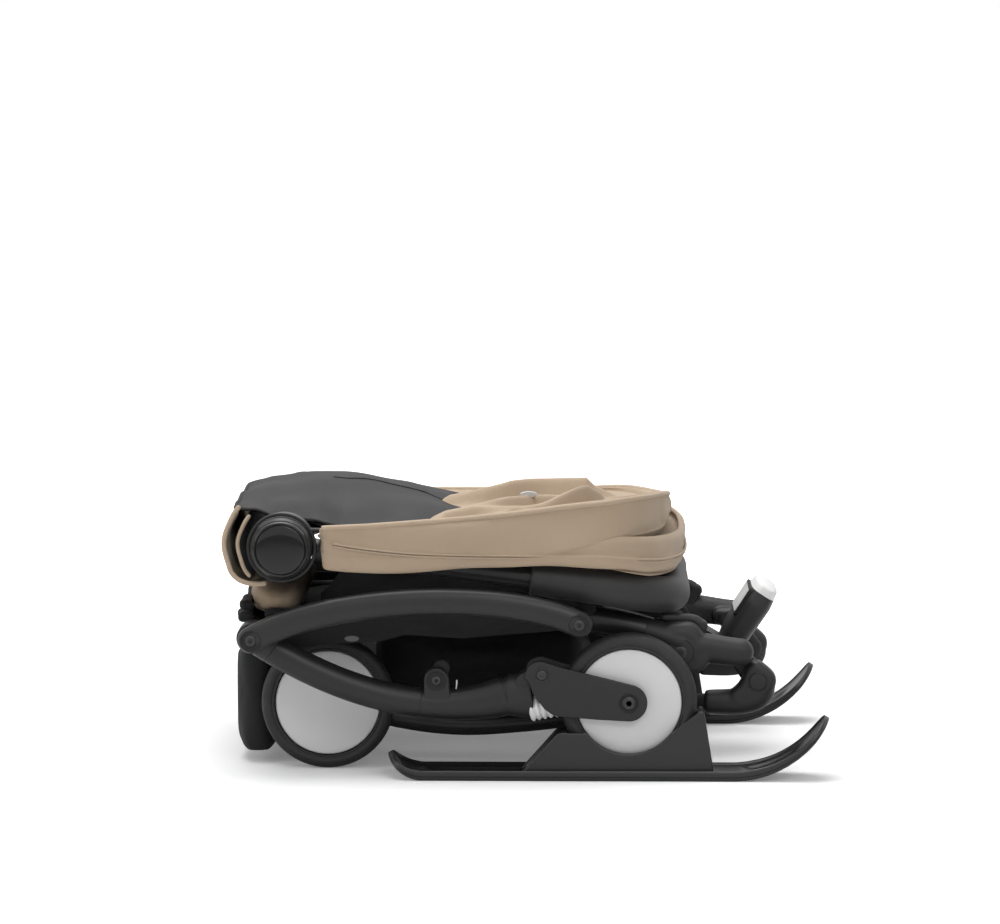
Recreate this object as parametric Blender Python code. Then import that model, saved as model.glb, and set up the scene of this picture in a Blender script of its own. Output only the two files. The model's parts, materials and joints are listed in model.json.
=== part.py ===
"""Compact travel stroller, folded flat and standing on a pair of snow skis.

Metres, +Z up. -X is the stroller's front, +X its rear, -Y its left side. The
origin is on the ground, in the middle of the folded stroller.
"""

import math

import bmesh
import bpy
import numpy as np
from mathutils import Vector

# Clearances
GAP = 0.0003  # between pieces that rest on or in each other
SIDE_PLAY = 0.0015  # between a turning piece and what it turns beside
BORE_PLAY = 0.0006  # of a bore round its pin
BORE_END = 0.010  # how far a cutting tool goes past what it cuts
SOFT_GAP = 0.0006  # between cloth and what carries it

# Wheels
WHEEL_RADIUS = 0.065
WHEEL_WIDTH = 0.026
WHEEL_TOP = 2 * WHEEL_RADIUS  # the frame is laid out from the top of the rear wheels
TYRE_DEPTH = 0.0138  # from the tread in to the wheel disc
DISC_RADIUS = WHEEL_RADIUS - TYRE_DEPTH
AXLE_RADIUS = 0.005
FRONT_AXLE_X = 0.100
REAR_AXLE_X = -0.194

# Overall layout
HALF_WIDTH = 0.221  # to the outer face of a side rail
RAIL_WIDTH = 0.0175
RAIL_HEIGHT = 0.0258
LEG_WIDTH = 0.030
LEG_RADIUS = 0.0145
REAR_ARM_OFFSET = HALF_WIDTH - 0.071  # centre plane of the rear arms
REAR_ARM_RADIUS = 0.0125
BACK_ARM_OFFSET = REAR_ARM_OFFSET - 0.024
BACK_ARM_RADIUS = 0.009
HANDLE_OFFSET = HALF_WIDTH - 0.039
HANDLE_RADIUS = 0.011
GRIP_RADIUS = 0.018
GRIP_START = 0.005  # x of the sleeve's ends
REAR_LEG_OFFSET = REAR_ARM_OFFSET - 0.052
ELBOW_OFFSET = REAR_ARM_OFFSET - 0.0135
REAR_WHEEL_OFFSET = REAR_LEG_OFFSET + 0.032

# Pivots in the side view, as (x, z)
FRONT_PIVOT = (-0.264, WHEEL_TOP + 0.006)
RAIL_REAR = (0.052, WHEEL_TOP + 0.022)
REAR_PIVOT = (0.150, WHEEL_TOP - 0.012)
HUB = (-0.235, WHEEL_TOP + 0.094)
ELBOW = (0.226, WHEEL_TOP - 0.045)
SUSPENSION_PIVOT = (0.016, WHEEL_TOP - 0.028)
LOCK_PIVOT = (-0.086, WHEEL_TOP - 0.0345)

# Skis
SKI_THICKNESS = 0.0075
SKI_SEAT = 0.0097  # height of the bottom of the wheel's seat in the ski
SKI_WIDTH = 0.060
SKI_FLAT = (-0.098, 0.200)  # ends of the flat sole
SKI_NOSE_RADIUS = 0.0976
SKI_NOSE_ANGLE = 70.0
SKI_TAIL_RADIUS = 0.034
SKI_TAIL_ANGLE = 78.0
SADDLE_WALL = 0.006

# Small parts
SHAFT_RADIUS = 0.008
PIN_RADIUS = 0.004
HINGE_PIN_RADIUS = 0.006
FORK_PLATE = 0.005
BARREL_RADIUS = 0.030
CAP_RADIUS = 0.0262
BOW_RADIUS = 0.0022
SEAT_BAR_RADIUS = 0.007

# Soft parts
CANOPY_HALF_WIDTH = HALF_WIDTH - 0.0085
CANOPY_REAR = 0.157  # right end of the folded canopy
CANOPY_FRONT = -0.192
CANOPY_TOP = HUB[1] + 0.012
HOOD_RIM_LOW = CANOPY_TOP + 0.007
HOOD_RIM_HIGH = CANOPY_TOP + 0.030
SKIRT_DROP = 0.0355  # from the canopy's top to the lowest edge of its skirt
SEAT_HALF = REAR_ARM_OFFSET + 0.008  # of the rolled front edge of the seat
BASKET_HALF = REAR_LEG_OFFSET - 0.020
CALF_HALF = REAR_ARM_OFFSET - 0.038
HOOD_CLOTH = 0.0025  # thickness of the hood's floor
FRONT_RIM = 0.0032  # height of the hood's rim above its floor at the open front

# Planes that follow from the sizes above
RAIL_Y = HALF_WIDTH - RAIL_WIDTH / 2
RAIL_INNER = HALF_WIDTH - RAIL_WIDTH
LEG_Y = RAIL_INNER - SIDE_PLAY - LEG_WIDTH / 2
LEG_INNER = LEG_Y - LEG_WIDTH / 2
FORK_HALF = LEG_WIDTH / 2 + GAP
FRONT_AXLE = (FRONT_AXLE_X, SKI_SEAT + WHEEL_RADIUS)
REAR_AXLE = (REAR_AXLE_X, WHEEL_RADIUS)
BARREL_INNER = BACK_ARM_OFFSET + 0.0225
BARREL_OUTER = HALF_WIDTH - 0.009
HOOD_FLOOR = CANOPY_TOP + SOFT_GAP

ROUND = 24  # sides of a wheel or a hub
TUBE = 10  # sides of a tube

# Finishes: colour, roughness and metallic value
FINISHES = {
    "painted tube": ((0.035, 0.036, 0.038), 0.42, 0.0),
    "moulding": ((0.028, 0.028, 0.029), 0.55, 0.0),
    "steel": ((0.10, 0.10, 0.10), 0.35, 0.9),
    "tyre": ((0.020, 0.020, 0.021), 0.75, 0.0),
    "pale disc": ((0.66, 0.66, 0.67), 0.5, 0.0),
    "pale buffer": ((0.78, 0.78, 0.77), 0.5, 0.0),
    "ski": ((0.018, 0.018, 0.019), 0.4, 0.0),
    "foam": ((0.055, 0.056, 0.058), 0.8, 0.0),
    "gloss cap": ((0.008, 0.008, 0.009), 0.08, 0.0),
    "beige cloth": ((0.42, 0.32, 0.22), 0.85, 0.0),
    "black cloth": ((0.022, 0.022, 0.024), 0.9, 0.0),
}


def material(name, finish_name):
    """Make the material of one piece."""
    colour, roughness, metallic = FINISHES[finish_name]
    made = bpy.data.materials.new(name)
    made.use_nodes = True
    shader = made.node_tree.nodes["Principled BSDF"]
    shader.inputs["Base Color"].default_value = (*colour, 1.0)
    shader.inputs["Roughness"].default_value = roughness
    shader.inputs["Metallic"].default_value = metallic
    return made


def clear_scene():
    """Remove what the file already holds."""
    for item in list(bpy.data.objects):
        bpy.data.objects.remove(item, do_unlink=True)


def finish(name, mesh, finish_name, origin=(0.0, 0.0), smooth=40.0):
    """Turn a bmesh into an object whose origin is on its joint's axis."""
    bmesh.ops.remove_doubles(mesh, verts=mesh.verts, dist=1e-6)
    bmesh.ops.recalc_face_normals(mesh, faces=mesh.faces)
    centre = Vector((origin[0], 0.0, origin[1]))
    bmesh.ops.translate(mesh, verts=mesh.verts, vec=-centre)
    data = bpy.data.meshes.new(name)
    mesh.to_mesh(data)
    mesh.free()
    data.shade_smooth()
    data.set_sharp_from_angle(angle=math.radians(smooth))
    part = bpy.data.objects.new(name, data)
    part.location = centre
    bpy.context.scene.collection.objects.link(part)
    data.materials.append(material(name, finish_name))
    return part


def combine(part, tool, operation):
    """Join a tool to a part, or cut it away, and keep the tool as a guide."""
    modifier = part.modifiers.new(tool.name, "BOOLEAN")
    modifier.operation = operation
    modifier.object = tool
    modifier.solver = "EXACT"
    tool.hide_render = True
    tool.display_type = "WIRE"


def unite(part, *tools):
    """Join several tools to a part."""
    for tool in tools:
        combine(part, tool, "UNION")


def cut(part, *tools):
    """Cut several tools out of a part."""
    for tool in tools:
        combine(part, tool, "DIFFERENCE")


def loft(rings, closed=False):
    """Skin rings of equal counts, and cap the first and the last unless closed."""
    mesh = bmesh.new()
    loops = [[mesh.verts.new(point) for point in ring] for ring in rings]
    count = len(loops[0])
    pairs = list(zip(loops, loops[1:]))
    if closed:
        pairs.append((loops[-1], loops[0]))
    for low, high in pairs:
        for k in range(count):
            n = (k + 1) % count
            mesh.faces.new((low[k], low[n], high[n], high[k]))
    if not closed:
        mesh.faces.new(loops[0])
        mesh.faces.new(loops[-1])
    return mesh


def circle(radius, sides=TUBE):
    """Points of a circle, with one at its lowest place."""
    angles = np.arange(sides) * 2 * math.pi / sides - math.pi / 2
    return np.stack([np.cos(angles), np.sin(angles)], axis=1) * radius


def bezier(start, first, second, end, t):
    """Points of a cubic curve at the values t."""
    t = np.asarray(t)[:, None]
    start, first, second, end = (np.array(p, dtype=float) for p in (start, first, second, end))
    return ((1 - t) ** 3 * start + 3 * t * (1 - t) ** 2 * first
            + 3 * t ** 2 * (1 - t) * second + t ** 3 * end)


def spline(points, steps):
    """Points of a smooth curve through the given ones, steps in each stretch."""
    points = np.array(points, dtype=float)
    before = np.vstack([2 * points[0] - points[1], points[:-1]])
    after = np.vstack([points[1:], 2 * points[-1] - points[-2]])
    slopes = (after - before) / 2
    found = []
    for k in range(len(points) - 1):
        for t in np.arange(steps) / steps:
            found.append((2 * t ** 3 - 3 * t ** 2 + 1) * points[k] + (t ** 3 - 2 * t ** 2 + t) * slopes[k]
                         + (3 * t ** 2 - 2 * t ** 3) * points[k + 1] + (t ** 3 - t ** 2) * slopes[k + 1])
    found.append(points[-1])
    return np.array(found)


def tangents(path):
    """Unit directions along a path."""
    found = np.gradient(path, axis=0)
    return found / np.linalg.norm(found, axis=1)[:, None]


def sweep(path, sections, side=(0.0, 1.0, 0.0), round_start=0.0, round_end=0.0):
    """Rings of sections, as (sideways, up), along a path. A round end has that radius in side view."""
    path = np.array(path, dtype=float)
    along = tangents(path)
    side = np.array(side, dtype=float)
    across = side - along * (along @ side)[:, None]
    across /= np.linalg.norm(across, axis=1)[:, None]
    up = np.cross(along, across)
    rings = [path[k] + sections[k][:, :1] * across[k] + sections[k][:, 1:] * up[k] for k in range(len(path))]
    for at, sign, radius in ((0, -1, round_start), (-1, 1, round_end)):
        if radius:
            caps = []
            for share in (0.45, 0.8, 0.985):
                shape = sections[at] * (1.0, math.sqrt(1 - share ** 2))
                caps.append(path[at] + along[at] * sign * radius * share
                            + shape[:, :1] * across[at] + shape[:, 1:] * up[at])
            rings = caps[::-1] + rings if sign < 0 else rings + caps
    return loft(rings)


def flat_path(points, offset):
    """Put (x, z) points in the plane y = offset."""
    points = np.array(points)
    return np.stack([points[:, 0], np.full(len(points), offset), points[:, 1]], axis=1)


def prism(outline, low, high):
    """Extrude a side-view outline between two values of y."""
    return loft([flat_path(outline, low), flat_path(outline, high)])


def rod(centre, radius, low, high, sides=12, chamfer=0.0):
    """A cylinder along Y, with its rims chamfered."""
    steps = [(low, radius), (high, radius)]
    if chamfer:
        rim = radius - chamfer
        steps = [(low, rim), (low + chamfer, radius), (high - chamfer, radius), (high, rim)]
    return loft([flat_path(circle(r, sides) + centre, y) for y, r in steps])


def turned(centre, profile, sides=ROUND, closed=True):
    """Turn a profile of (radius, y) about an axis along Y."""
    rings = [flat_path(circle(r, sides) + centre, y) for r, y in profile]
    return loft(rings, closed=closed)


def band(side, near, far):
    """A span of y on one side, low value first."""
    return tuple(sorted((side * near, side * far)))


def arc(centre, radius, start, end, count):
    """Points of an arc in the side view, angles in degrees."""
    angles = np.radians(np.linspace(start, end, count))
    return np.stack([np.cos(angles), np.sin(angles)], axis=1) * radius + centre


def capsule(first, second, radius, second_radius=None, count=9):
    """Outline round two circles."""
    second_radius = second_radius or radius
    first, second = np.array(first), np.array(second)
    heading = math.degrees(math.atan2(*(second - first)[::-1]))
    return np.vstack([arc(first, radius, heading + 90, heading + 270, count),
                      arc(second, second_radius, heading - 90, heading + 90, count)])


# Side frames

def side_rail(name, side):
    """Arched oval tube with round flat ends over both bolts."""
    t = np.linspace(0, 1, 11)
    start, end = np.array(FRONT_PIVOT), np.array(RAIL_REAR)
    path = bezier(start, start + (0.074, 0.044), end + (-0.072, 0.034), end, t)
    section = circle(1.0, 12) * (RAIL_WIDTH / 2, RAIL_HEIGHT / 2)
    return finish(name, sweep(flat_path(path, side * RAIL_Y), [section] * len(path),
                              round_start=RAIL_HEIGHT / 2, round_end=RAIL_HEIGHT / 2), "painted tube")


LEG_CURVE = (FRONT_PIVOT, (-0.180, WHEEL_TOP - 0.050), (-0.078, WHEEL_TOP - 0.081), (0.006, WHEEL_TOP - 0.041))
SOCKET_AT = 0.865
SOCKET_HEIGHT = 0.038


def leg_height(t):
    """Height of the front leg, which swells towards its socket."""
    swell = np.clip((np.asarray(t) - 0.6) / 0.27, 0, 1) ** 1.5
    return 2 * LEG_RADIUS + (SOCKET_HEIGHT - 2 * LEG_RADIUS) * swell


def oval_sections(heights, width, sides=TUBE):
    """Oval sections of the given heights."""
    return [circle(1.0, sides) * (width / 2, height / 2) for height in heights]


def front_leg(name, side):
    """Curved leg with the eye of its pivot and the lug of the fold lock."""
    t = np.linspace(0.02, SOCKET_AT, 11)
    path = bezier(*LEG_CURVE, t)
    leg = finish(name, sweep(flat_path(path, side * LEG_Y), oval_sections(leg_height(t), LEG_WIDTH - 0.0012)),
                 "painted tube", FRONT_PIVOT)
    span = band(side, LEG_INNER, LEG_Y + LEG_WIDTH / 2)
    eye = finish(name + "_eye", rod(FRONT_PIVOT, LEG_RADIUS + 0.0005, *span, sides=20, chamfer=0.001),
                 "painted tube", FRONT_PIVOT)
    lug_span = band(side, LEG_Y - 0.005, LEG_Y + 0.012)
    lug_outline = capsule(LOCK_PIVOT, (LOCK_PIVOT[0] + 0.001, LOCK_PIVOT[1] - 0.022), 0.0118)
    lug = finish(name + "_lug", prism(lug_outline, *lug_span), "moulding", FRONT_PIVOT)
    bore_span = band(side, LEG_INNER - BORE_END, HALF_WIDTH + BORE_END)
    bore = finish(name + "_bore", rod(FRONT_PIVOT, SHAFT_RADIUS + BORE_PLAY, *bore_span, sides=20),
                  "moulding", FRONT_PIVOT)
    hole_span = band(side, LEG_INNER - BORE_END, LEG_Y + 0.008)
    pin_hole = finish(name + "_pin_hole", rod(LOCK_PIVOT, PIN_RADIUS + BORE_PLAY, *hole_span),
                      "moulding", FRONT_PIVOT)
    unite(leg, eye, lug)
    cut(leg, bore, pin_hole)
    return leg


def socket_end():
    """Centre and direction of the socket's end, in the side view."""
    tail = np.array(LEG_CURVE[3]) - np.array(LEG_CURVE[2])
    return np.array(LEG_CURVE[3]), tail / np.linalg.norm(tail)


def caster_socket(name, side):
    """Moulded end of the leg with the ear of the suspension pivot."""
    t = np.linspace(SOCKET_AT + 0.009, 1.0, 6)
    heights = SOCKET_HEIGHT * np.array([1.0, 1.02, 1.0, 0.97, 0.94, 0.9])
    path = bezier(*LEG_CURVE, t)
    socket = finish(name, sweep(flat_path(path, side * LEG_Y), oval_sections(heights, LEG_WIDTH - 0.001)),
                    "moulding", FRONT_PIVOT)
    span = band(side, LEG_Y - FORK_HALF + SIDE_PLAY, LEG_Y + FORK_HALF - SIDE_PLAY)
    root = np.array(SUSPENSION_PIVOT) + (-0.016, -0.008)
    ear_outline = capsule(root, SUSPENSION_PIVOT, 0.009, 0.0085)
    ear = finish(name + "_ear", prism(ear_outline, *span), "moulding", FRONT_PIVOT)
    hole_span = band(side, LEG_INNER - BORE_END, HALF_WIDTH + BORE_END)
    hole = finish(name + "_hole", rod(SUSPENSION_PIVOT, PIN_RADIUS + BORE_PLAY, *hole_span),
                  "moulding", FRONT_PIVOT)
    unite(socket, ear)
    cut(socket, hole)
    return socket


def fold_lock(name, side):
    """Latch lever on the leg's lug, with its pin."""
    tip = (LOCK_PIVOT[0] + 0.007, LOCK_PIVOT[1] + 0.021)
    inner = LEG_Y - 0.005 - SIDE_PLAY
    lever = finish(name, prism(capsule(LOCK_PIVOT, tip, 0.0088, 0.0088, 7), *band(side, inner - 0.010, inner)),
                   "moulding", LOCK_PIVOT)
    pin = finish(name + "_pin", rod(LOCK_PIVOT, PIN_RADIUS, *band(side, inner - 0.004, LEG_Y + 0.0065)),
                 "moulding", LOCK_PIVOT)
    unite(lever, pin)
    return lever


# Front suspension, wheels and skis

def suspension_arm(name, side):
    """Fork of two plates joined by a web that follows the tyre."""
    outline = np.vstack([
        arc(FRONT_AXLE, 0.0176, -95, 76, 12),
        arc(np.array(SUSPENSION_PIVOT) + (0.002, 0), 0.0145, 68, 168, 7),
        arc((0.026, WHEEL_TOP - 0.051), 0.0185, 200, 262, 5),
    ])
    near = LEG_Y + FORK_HALF
    far = LEG_Y - FORK_HALF
    outer = finish(name, prism(outline, *band(side, near, near + FORK_PLATE)), "moulding", SUSPENSION_PIVOT)
    inner = finish(name + "_inner", prism(outline, *band(side, far - FORK_PLATE, far)), "moulding",
                   SUSPENSION_PIVOT)
    reach = WHEEL_RADIUS + 0.0018
    web_outline = np.vstack([arc(FRONT_AXLE, reach, 158, 188, 7), arc(FRONT_AXLE, reach + 0.0032, 188, 158, 7)])
    web = finish(name + "_web", prism(web_outline, *band(side, far - FORK_PLATE / 2, near + FORK_PLATE / 2)),
                 "moulding", SUSPENSION_PIVOT)
    unite(outer, web, inner)
    return outer


def pin_between_plates(name, side, centre, radius, origin):
    """A plain pin from plate to plate of the fork."""
    half = FORK_HALF - GAP
    return finish(name, rod(centre, radius, *band(side, LEG_Y - half, LEG_Y + half)), "steel", origin)


def suspension_spring(name, side):
    """Ribbed buffer between the socket and the fork's web."""
    end, heading = socket_end()
    start = end + heading * 0.0015 + np.array((0.0060, -0.0128))
    toward = np.array(FRONT_AXLE) - start
    distance = np.linalg.norm(toward)
    toward /= distance
    finish_at = start + toward * (distance - WHEEL_RADIUS - 0.0056)
    ribs = 4
    count = ribs * 3 + 1
    t = np.linspace(0, 1, count)
    path = bezier(start, start + heading * 0.006, finish_at - toward * 0.006, finish_at, t)
    sections = [circle(0.0125 if k % 3 else 0.0098) for k in range(count)]
    return finish(name, sweep(flat_path(path, side * LEG_Y), sections), "pale buffer", FRONT_PIVOT)


def tyre(name, side, centre, offset):
    """Solid tyre with rounded shoulders."""
    half = WHEEL_WIDTH / 2
    inner = DISC_RADIUS + GAP
    profile = [(inner, -0.85 * half), (inner + 0.004, -half), (WHEEL_RADIUS - 0.006, -half),
               (WHEEL_RADIUS, -0.5 * half), (WHEEL_RADIUS, 0.5 * half),
               (WHEEL_RADIUS - 0.006, half), (inner + 0.004, half),
               (inner, 0.85 * half)]
    return finish(name, turned(centre, [(r, y + side * offset) for r, y in profile]), "tyre", centre, smooth=50)


def wheel_disc(name, side, centre, offset):
    """Pale closed wheel with a shallow dish and a hub."""
    half = WHEEL_WIDTH / 2
    bore = AXLE_RADIUS + BORE_PLAY
    face = [(bore, half - 0.0004), (0.012, half - 0.0004), (0.0145, half - 0.0028),
            (DISC_RADIUS, half - 0.0022)]
    profile = [(r, -y) for r, y in face] + face[::-1]
    shifted = [(r, y + side * offset) for r, y in profile]
    return finish(name, turned(centre, shifted), "pale disc", centre, smooth=30)


def ski_path():
    """Middle line of the blade in the side view, with the share of its width and thickness."""
    half = SKI_THICKNESS / 2
    flat_start, flat_end = SKI_FLAT
    tail = arc((flat_start, SKI_TAIL_RADIUS + half), SKI_TAIL_RADIUS, -90 - SKI_TAIL_ANGLE, -90, 7)
    middle = np.stack([np.linspace(flat_start, flat_end, 5)[1:-1], np.full(3, half)], axis=1)
    nose = arc((flat_end, SKI_NOSE_RADIUS + half), SKI_NOSE_RADIUS, -90, -90 + SKI_NOSE_ANGLE, 9)
    path = np.vstack([tail, middle, nose])
    steps = np.linalg.norm(np.diff(path, axis=0), axis=1)
    travel = np.concatenate([[0], np.cumsum(steps)])
    from_tail = travel
    from_nose = travel[-1] - travel
    width = np.minimum(rounding(from_tail, 0.022), rounding(from_nose, 0.030))
    thick = np.minimum(0.5 + 0.5 * np.clip(from_tail / 0.03, 0, 1), 0.5 + 0.5 * np.clip(from_nose / 0.09, 0, 1))
    return path, width, thick


def rounding(distance, length):
    """Share of the width at a distance from a rounded tip."""
    left = np.clip(1 - distance / length, 0, 1)
    return np.maximum(np.sqrt(1 - left ** 2), 0.30)


def ski(name, side):
    """Blade with turned-up ends and the saddle that holds the wheel."""
    path, width, thick = ski_path()
    shape = np.array([(-0.88, -1), (0.88, -1), (1, -0.4), (1, 0.8), (0.92, 1), (0.84, 0.55),
                      (-0.84, 0.55), (-0.92, 1), (-1, 0.8), (-1, -0.4)])
    sections = [shape * (w * SKI_WIDTH / 2, t * SKI_THICKNESS / 2) for w, t in zip(width, thick)]
    blade = finish(name, sweep(flat_path(path, side * LEG_Y), sections), "ski", FRONT_AXLE)
    x, z = FRONT_AXLE
    base = SKI_THICKNESS * 0.55
    outline = np.vstack([
        [(0.004, base), (0.022, 0.041), (0.046, 0.0455)],
        arc((x, z), 0.0495, 222, 322, 13),
        [(0.1705, 0.071), (0.182, base)],
    ])
    wall = WHEEL_WIDTH / 2 + SIDE_PLAY + SADDLE_WALL
    seat_span = band(side, LEG_Y - wall + SADDLE_WALL, LEG_Y + wall - SADDLE_WALL)
    saddle_span = band(side, LEG_Y - wall, LEG_Y + wall)
    saddle = finish(name + "_saddle", prism(outline, *saddle_span), "ski", FRONT_AXLE)
    seat = finish(name + "_seat", rod(FRONT_AXLE, WHEEL_RADIUS + GAP, *seat_span, sides=ROUND), "ski",
                  FRONT_AXLE)
    unite(blade, saddle)
    cut(blade, seat)
    return blade


# Rear arms and rear legs

def rear_arm(name, side):
    """Tube from the rail's bolt to the moulded rear hinge, whose finger carries the elbow."""
    y = REAR_ARM_OFFSET
    t = np.linspace(0, 1, 7)
    start, hinge = np.array(RAIL_REAR), np.array(REAR_PIVOT)
    path = bezier(start, start + (0.03, -0.006), hinge + (-0.035, 0.026), hinge + (-0.004, 0.006), t)
    radii = REAR_ARM_RADIUS + 0.002 * np.clip(t - 0.6, 0, 1)
    rings = [circle(r) for r in radii]
    tube = finish(name, sweep(flat_path(path, side * y), rings, round_start=REAR_ARM_RADIUS), "painted tube")
    half = REAR_ARM_RADIUS + 0.0004
    knuckle = finish(name + "_knuckle", rod(hinge + (0, 0.001), 0.0235, *band(side, y - half, y + half),
                     sides=16, chamfer=0.003), "moulding")
    finger_path = bezier(hinge + (0.010, 0.004), hinge + (0.03, 0.006), hinge + (0.04, 0.0),
                         hinge + (0.060, 0.0), np.linspace(0, 1, 5))
    finger = finish(name + "_finger", sweep(flat_path(finger_path, side * y), [circle(0.0122) * (1.0, 1.1)] * 5,
                    round_end=0.012), "moulding")
    boss = finish(name + "_boss", rod(RAIL_REAR, 0.0098, *band(side, y, RAIL_INNER - GAP)), "moulding")
    bracket_outer = ELBOW_OFFSET - 0.0125 - SIDE_PLAY
    bracket = finish(name + "_bracket", prism(capsule((0.204, WHEEL_TOP - 0.017), ELBOW, 0.0105, 0.0115),
                     *band(side, bracket_outer - 0.009, bracket_outer)), "moulding")
    neck_outline = capsule((0.196, WHEEL_TOP - 0.0135), (0.207, WHEEL_TOP - 0.0135), 0.0075)
    neck = finish(name + "_neck", prism(neck_outline, *band(side, bracket_outer - 0.005, y - 0.002)), "moulding")
    elbow_pin = finish(name + "_elbow_pin", rod(ELBOW, AXLE_RADIUS, *band(side, bracket_outer - 0.003,
                       ELBOW_OFFSET + 0.009)), "steel")
    hinge_pin = finish(name + "_hinge_pin", rod(REAR_PIVOT, HINGE_PIN_RADIUS, *band(side,
                       back_arm_inner() - SIDE_PLAY, y)), "steel")
    unite(tube, knuckle, finger, boss, neck, bracket, elbow_pin, hinge_pin)
    return tube


def back_arm_inner():
    """Inner face of a back arm's eye."""
    return BACK_ARM_OFFSET - BACK_ARM_RADIUS


def rear_leg(name, side):
    """Leg from the moulded elbow to the wheel, folded under the frame."""
    drops = [(0.226, 0.045, 1.0), (0.222, 0.060, 1.0), (0.206, 0.0685, 1.0), (0.176, 0.069, 0.974),
             (0.138, 0.072, 0.727), (0.085, 0.079, 0.208), (0.000, 0.090, 0.0), (-0.070, 0.093, 0.0),
             (-0.135, 0.084, 0.0)]
    step = ELBOW_OFFSET - REAR_LEG_OFFSET
    points = [(x, REAR_LEG_OFFSET + step * share, WHEEL_TOP - drop) for x, drop, share in drops]
    points.append((REAR_AXLE[0], REAR_LEG_OFFSET, REAR_AXLE[1]))
    radii = [0.0150, 0.0130, 0.0105, 0.0100, 0.0088, 0.0088, 0.0095, 0.0100, 0.0100, 0.0100]
    steps = 2
    path = spline(points, steps)
    thick = spline([(r, 0) for r in radii], steps)[:, 0]
    widths = np.minimum(thick, 0.0122)
    path[:, 1] *= side
    sections = [circle(1.0, 8) * (w, r) for w, r in zip(widths, thick)]
    leg = finish(name, sweep(path, sections, round_start=0.015), "painted tube", ELBOW)
    boss_span = band(side, REAR_LEG_OFFSET - 0.012, REAR_LEG_OFFSET + 0.012)
    boss = finish(name + "_boss", rod(REAR_AXLE, 0.0135, *boss_span, chamfer=0.001), "moulding", ELBOW)
    axle_span = band(side, REAR_LEG_OFFSET, REAR_WHEEL_OFFSET + WHEEL_WIDTH / 2 + 0.002)
    axle = finish(name + "_axle", rod(REAR_AXLE, AXLE_RADIUS, *axle_span), "steel", ELBOW)
    collar_span = band(side, REAR_LEG_OFFSET, REAR_WHEEL_OFFSET - WHEEL_WIDTH / 2 - GAP)
    collar = finish(name + "_collar", rod(REAR_AXLE, 0.0085, *collar_span), "moulding", ELBOW)
    hole_span = band(side, REAR_LEG_OFFSET, ELBOW_OFFSET + 0.0095)
    hole = finish(name + "_hole", rod(ELBOW, AXLE_RADIUS + BORE_PLAY, *hole_span), "moulding", ELBOW)
    unite(leg, boss, collar, axle)
    cut(leg, hole)
    return leg


def brake_pedal(name):
    """Sleeve on the axle bar with a foot plate."""
    inner = 0.007 + BORE_PLAY
    profile = [(inner, -0.030), (0.0115, -0.030), (0.0115, 0.030), (inner, 0.030)]
    sleeve = finish(name, turned(REAR_AXLE, profile, sides=16), "moulding", REAR_AXLE)
    x, z = REAR_AXLE
    plate = finish(name + "_plate", prism(capsule((x - 0.0125, z + 0.002), (x - 0.036, z + 0.006), 0.0032),
                   -0.026, 0.026), "moulding", REAR_AXLE)
    unite(sleeve, plate)
    return sleeve


# Back frame and handlebar

def back_arm(name, side):
    """Straight arm from the rear hinge to the hub of the handlebar."""
    hinge, hub = np.array(REAR_PIVOT), np.array(HUB)
    path = hinge + (hub - hinge) * np.linspace(0.02, 0.985, 4)[:, None]
    rings = [circle(BACK_ARM_RADIUS - GAP, 8)] * len(path)
    arm = finish(name, sweep(flat_path(path, side * BACK_ARM_OFFSET), rings), "painted tube", REAR_PIVOT)
    eye_span = band(side, back_arm_inner(), BACK_ARM_OFFSET + BACK_ARM_RADIUS)
    eye = finish(name + "_eye", rod(REAR_PIVOT, 0.0130, *eye_span, sides=16), "moulding", REAR_PIVOT)
    plate_span = band(side, BARREL_INNER - 0.0118, BARREL_INNER - GAP)
    plate = finish(name + "_plate", rod(HUB, BARREL_RADIUS - 0.003, *plate_span, sides=ROUND, chamfer=0.002),
                   "moulding", REAR_PIVOT)
    neck_span = band(side, back_arm_inner(), BARREL_INNER - 0.006)
    neck = finish(name + "_neck", rod(HUB, BACK_ARM_RADIUS - 0.0001, *neck_span), "moulding", REAR_PIVOT)
    hole_span = band(side, back_arm_inner() - BORE_END, REAR_ARM_OFFSET)
    hole = finish(name + "_hole", rod(REAR_PIVOT, HINGE_PIN_RADIUS + BORE_PLAY, *hole_span), "moulding", REAR_PIVOT)
    unite(arm, eye, neck, plate)
    cut(arm, hole)
    return arm


def handle_height(x):
    """Height of the handlebar's middle line, which falls from the hub to the bend."""
    return HUB[1] - 0.1247 * (np.asarray(x) - HUB[0])


def handle_path(start):
    """Middle line of the U, from one arm's end at x = start round to the other's."""
    bend, radius = 0.142, 0.075
    straight = np.linspace(start, bend - radius, 4)[:-1]
    half = [(x, HANDLE_OFFSET) for x in straight]
    half += [tuple(p) for p in arc((bend - radius, HANDLE_OFFSET - radius), radius, 90, 0, 6)]
    half += [(bend, 0.05), (bend, 0.0)]
    plan = np.array(half + [(x, -y) for x, y in half[-2::-1]])
    return np.stack([plan[:, 0], plan[:, 1], handle_height(plan[:, 0])], axis=1)


def handle_rings(start, radii):
    """Rings of the given radii round the U."""
    path = handle_path(start)
    along = tangents(path)
    across = np.array((0.0, 0.0, 1.0)) - along * along[:, 2:]
    across /= np.linalg.norm(across, axis=1)[:, None]
    up = np.cross(along, across)
    rings = []
    for k, radius in enumerate(radii(len(path))):
        shape = circle(radius)
        rings.append(path[k] + shape[:, :1] * across[k] + shape[:, 1:] * up[k])
    return rings


def handlebar(name):
    """U-shaped tube between the two hubs."""
    start = HUB[0] + BARREL_RADIUS - GAP / 2
    return finish(name, loft(handle_rings(start, lambda n: [HANDLE_RADIUS] * n)), "painted tube", HUB)


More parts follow.
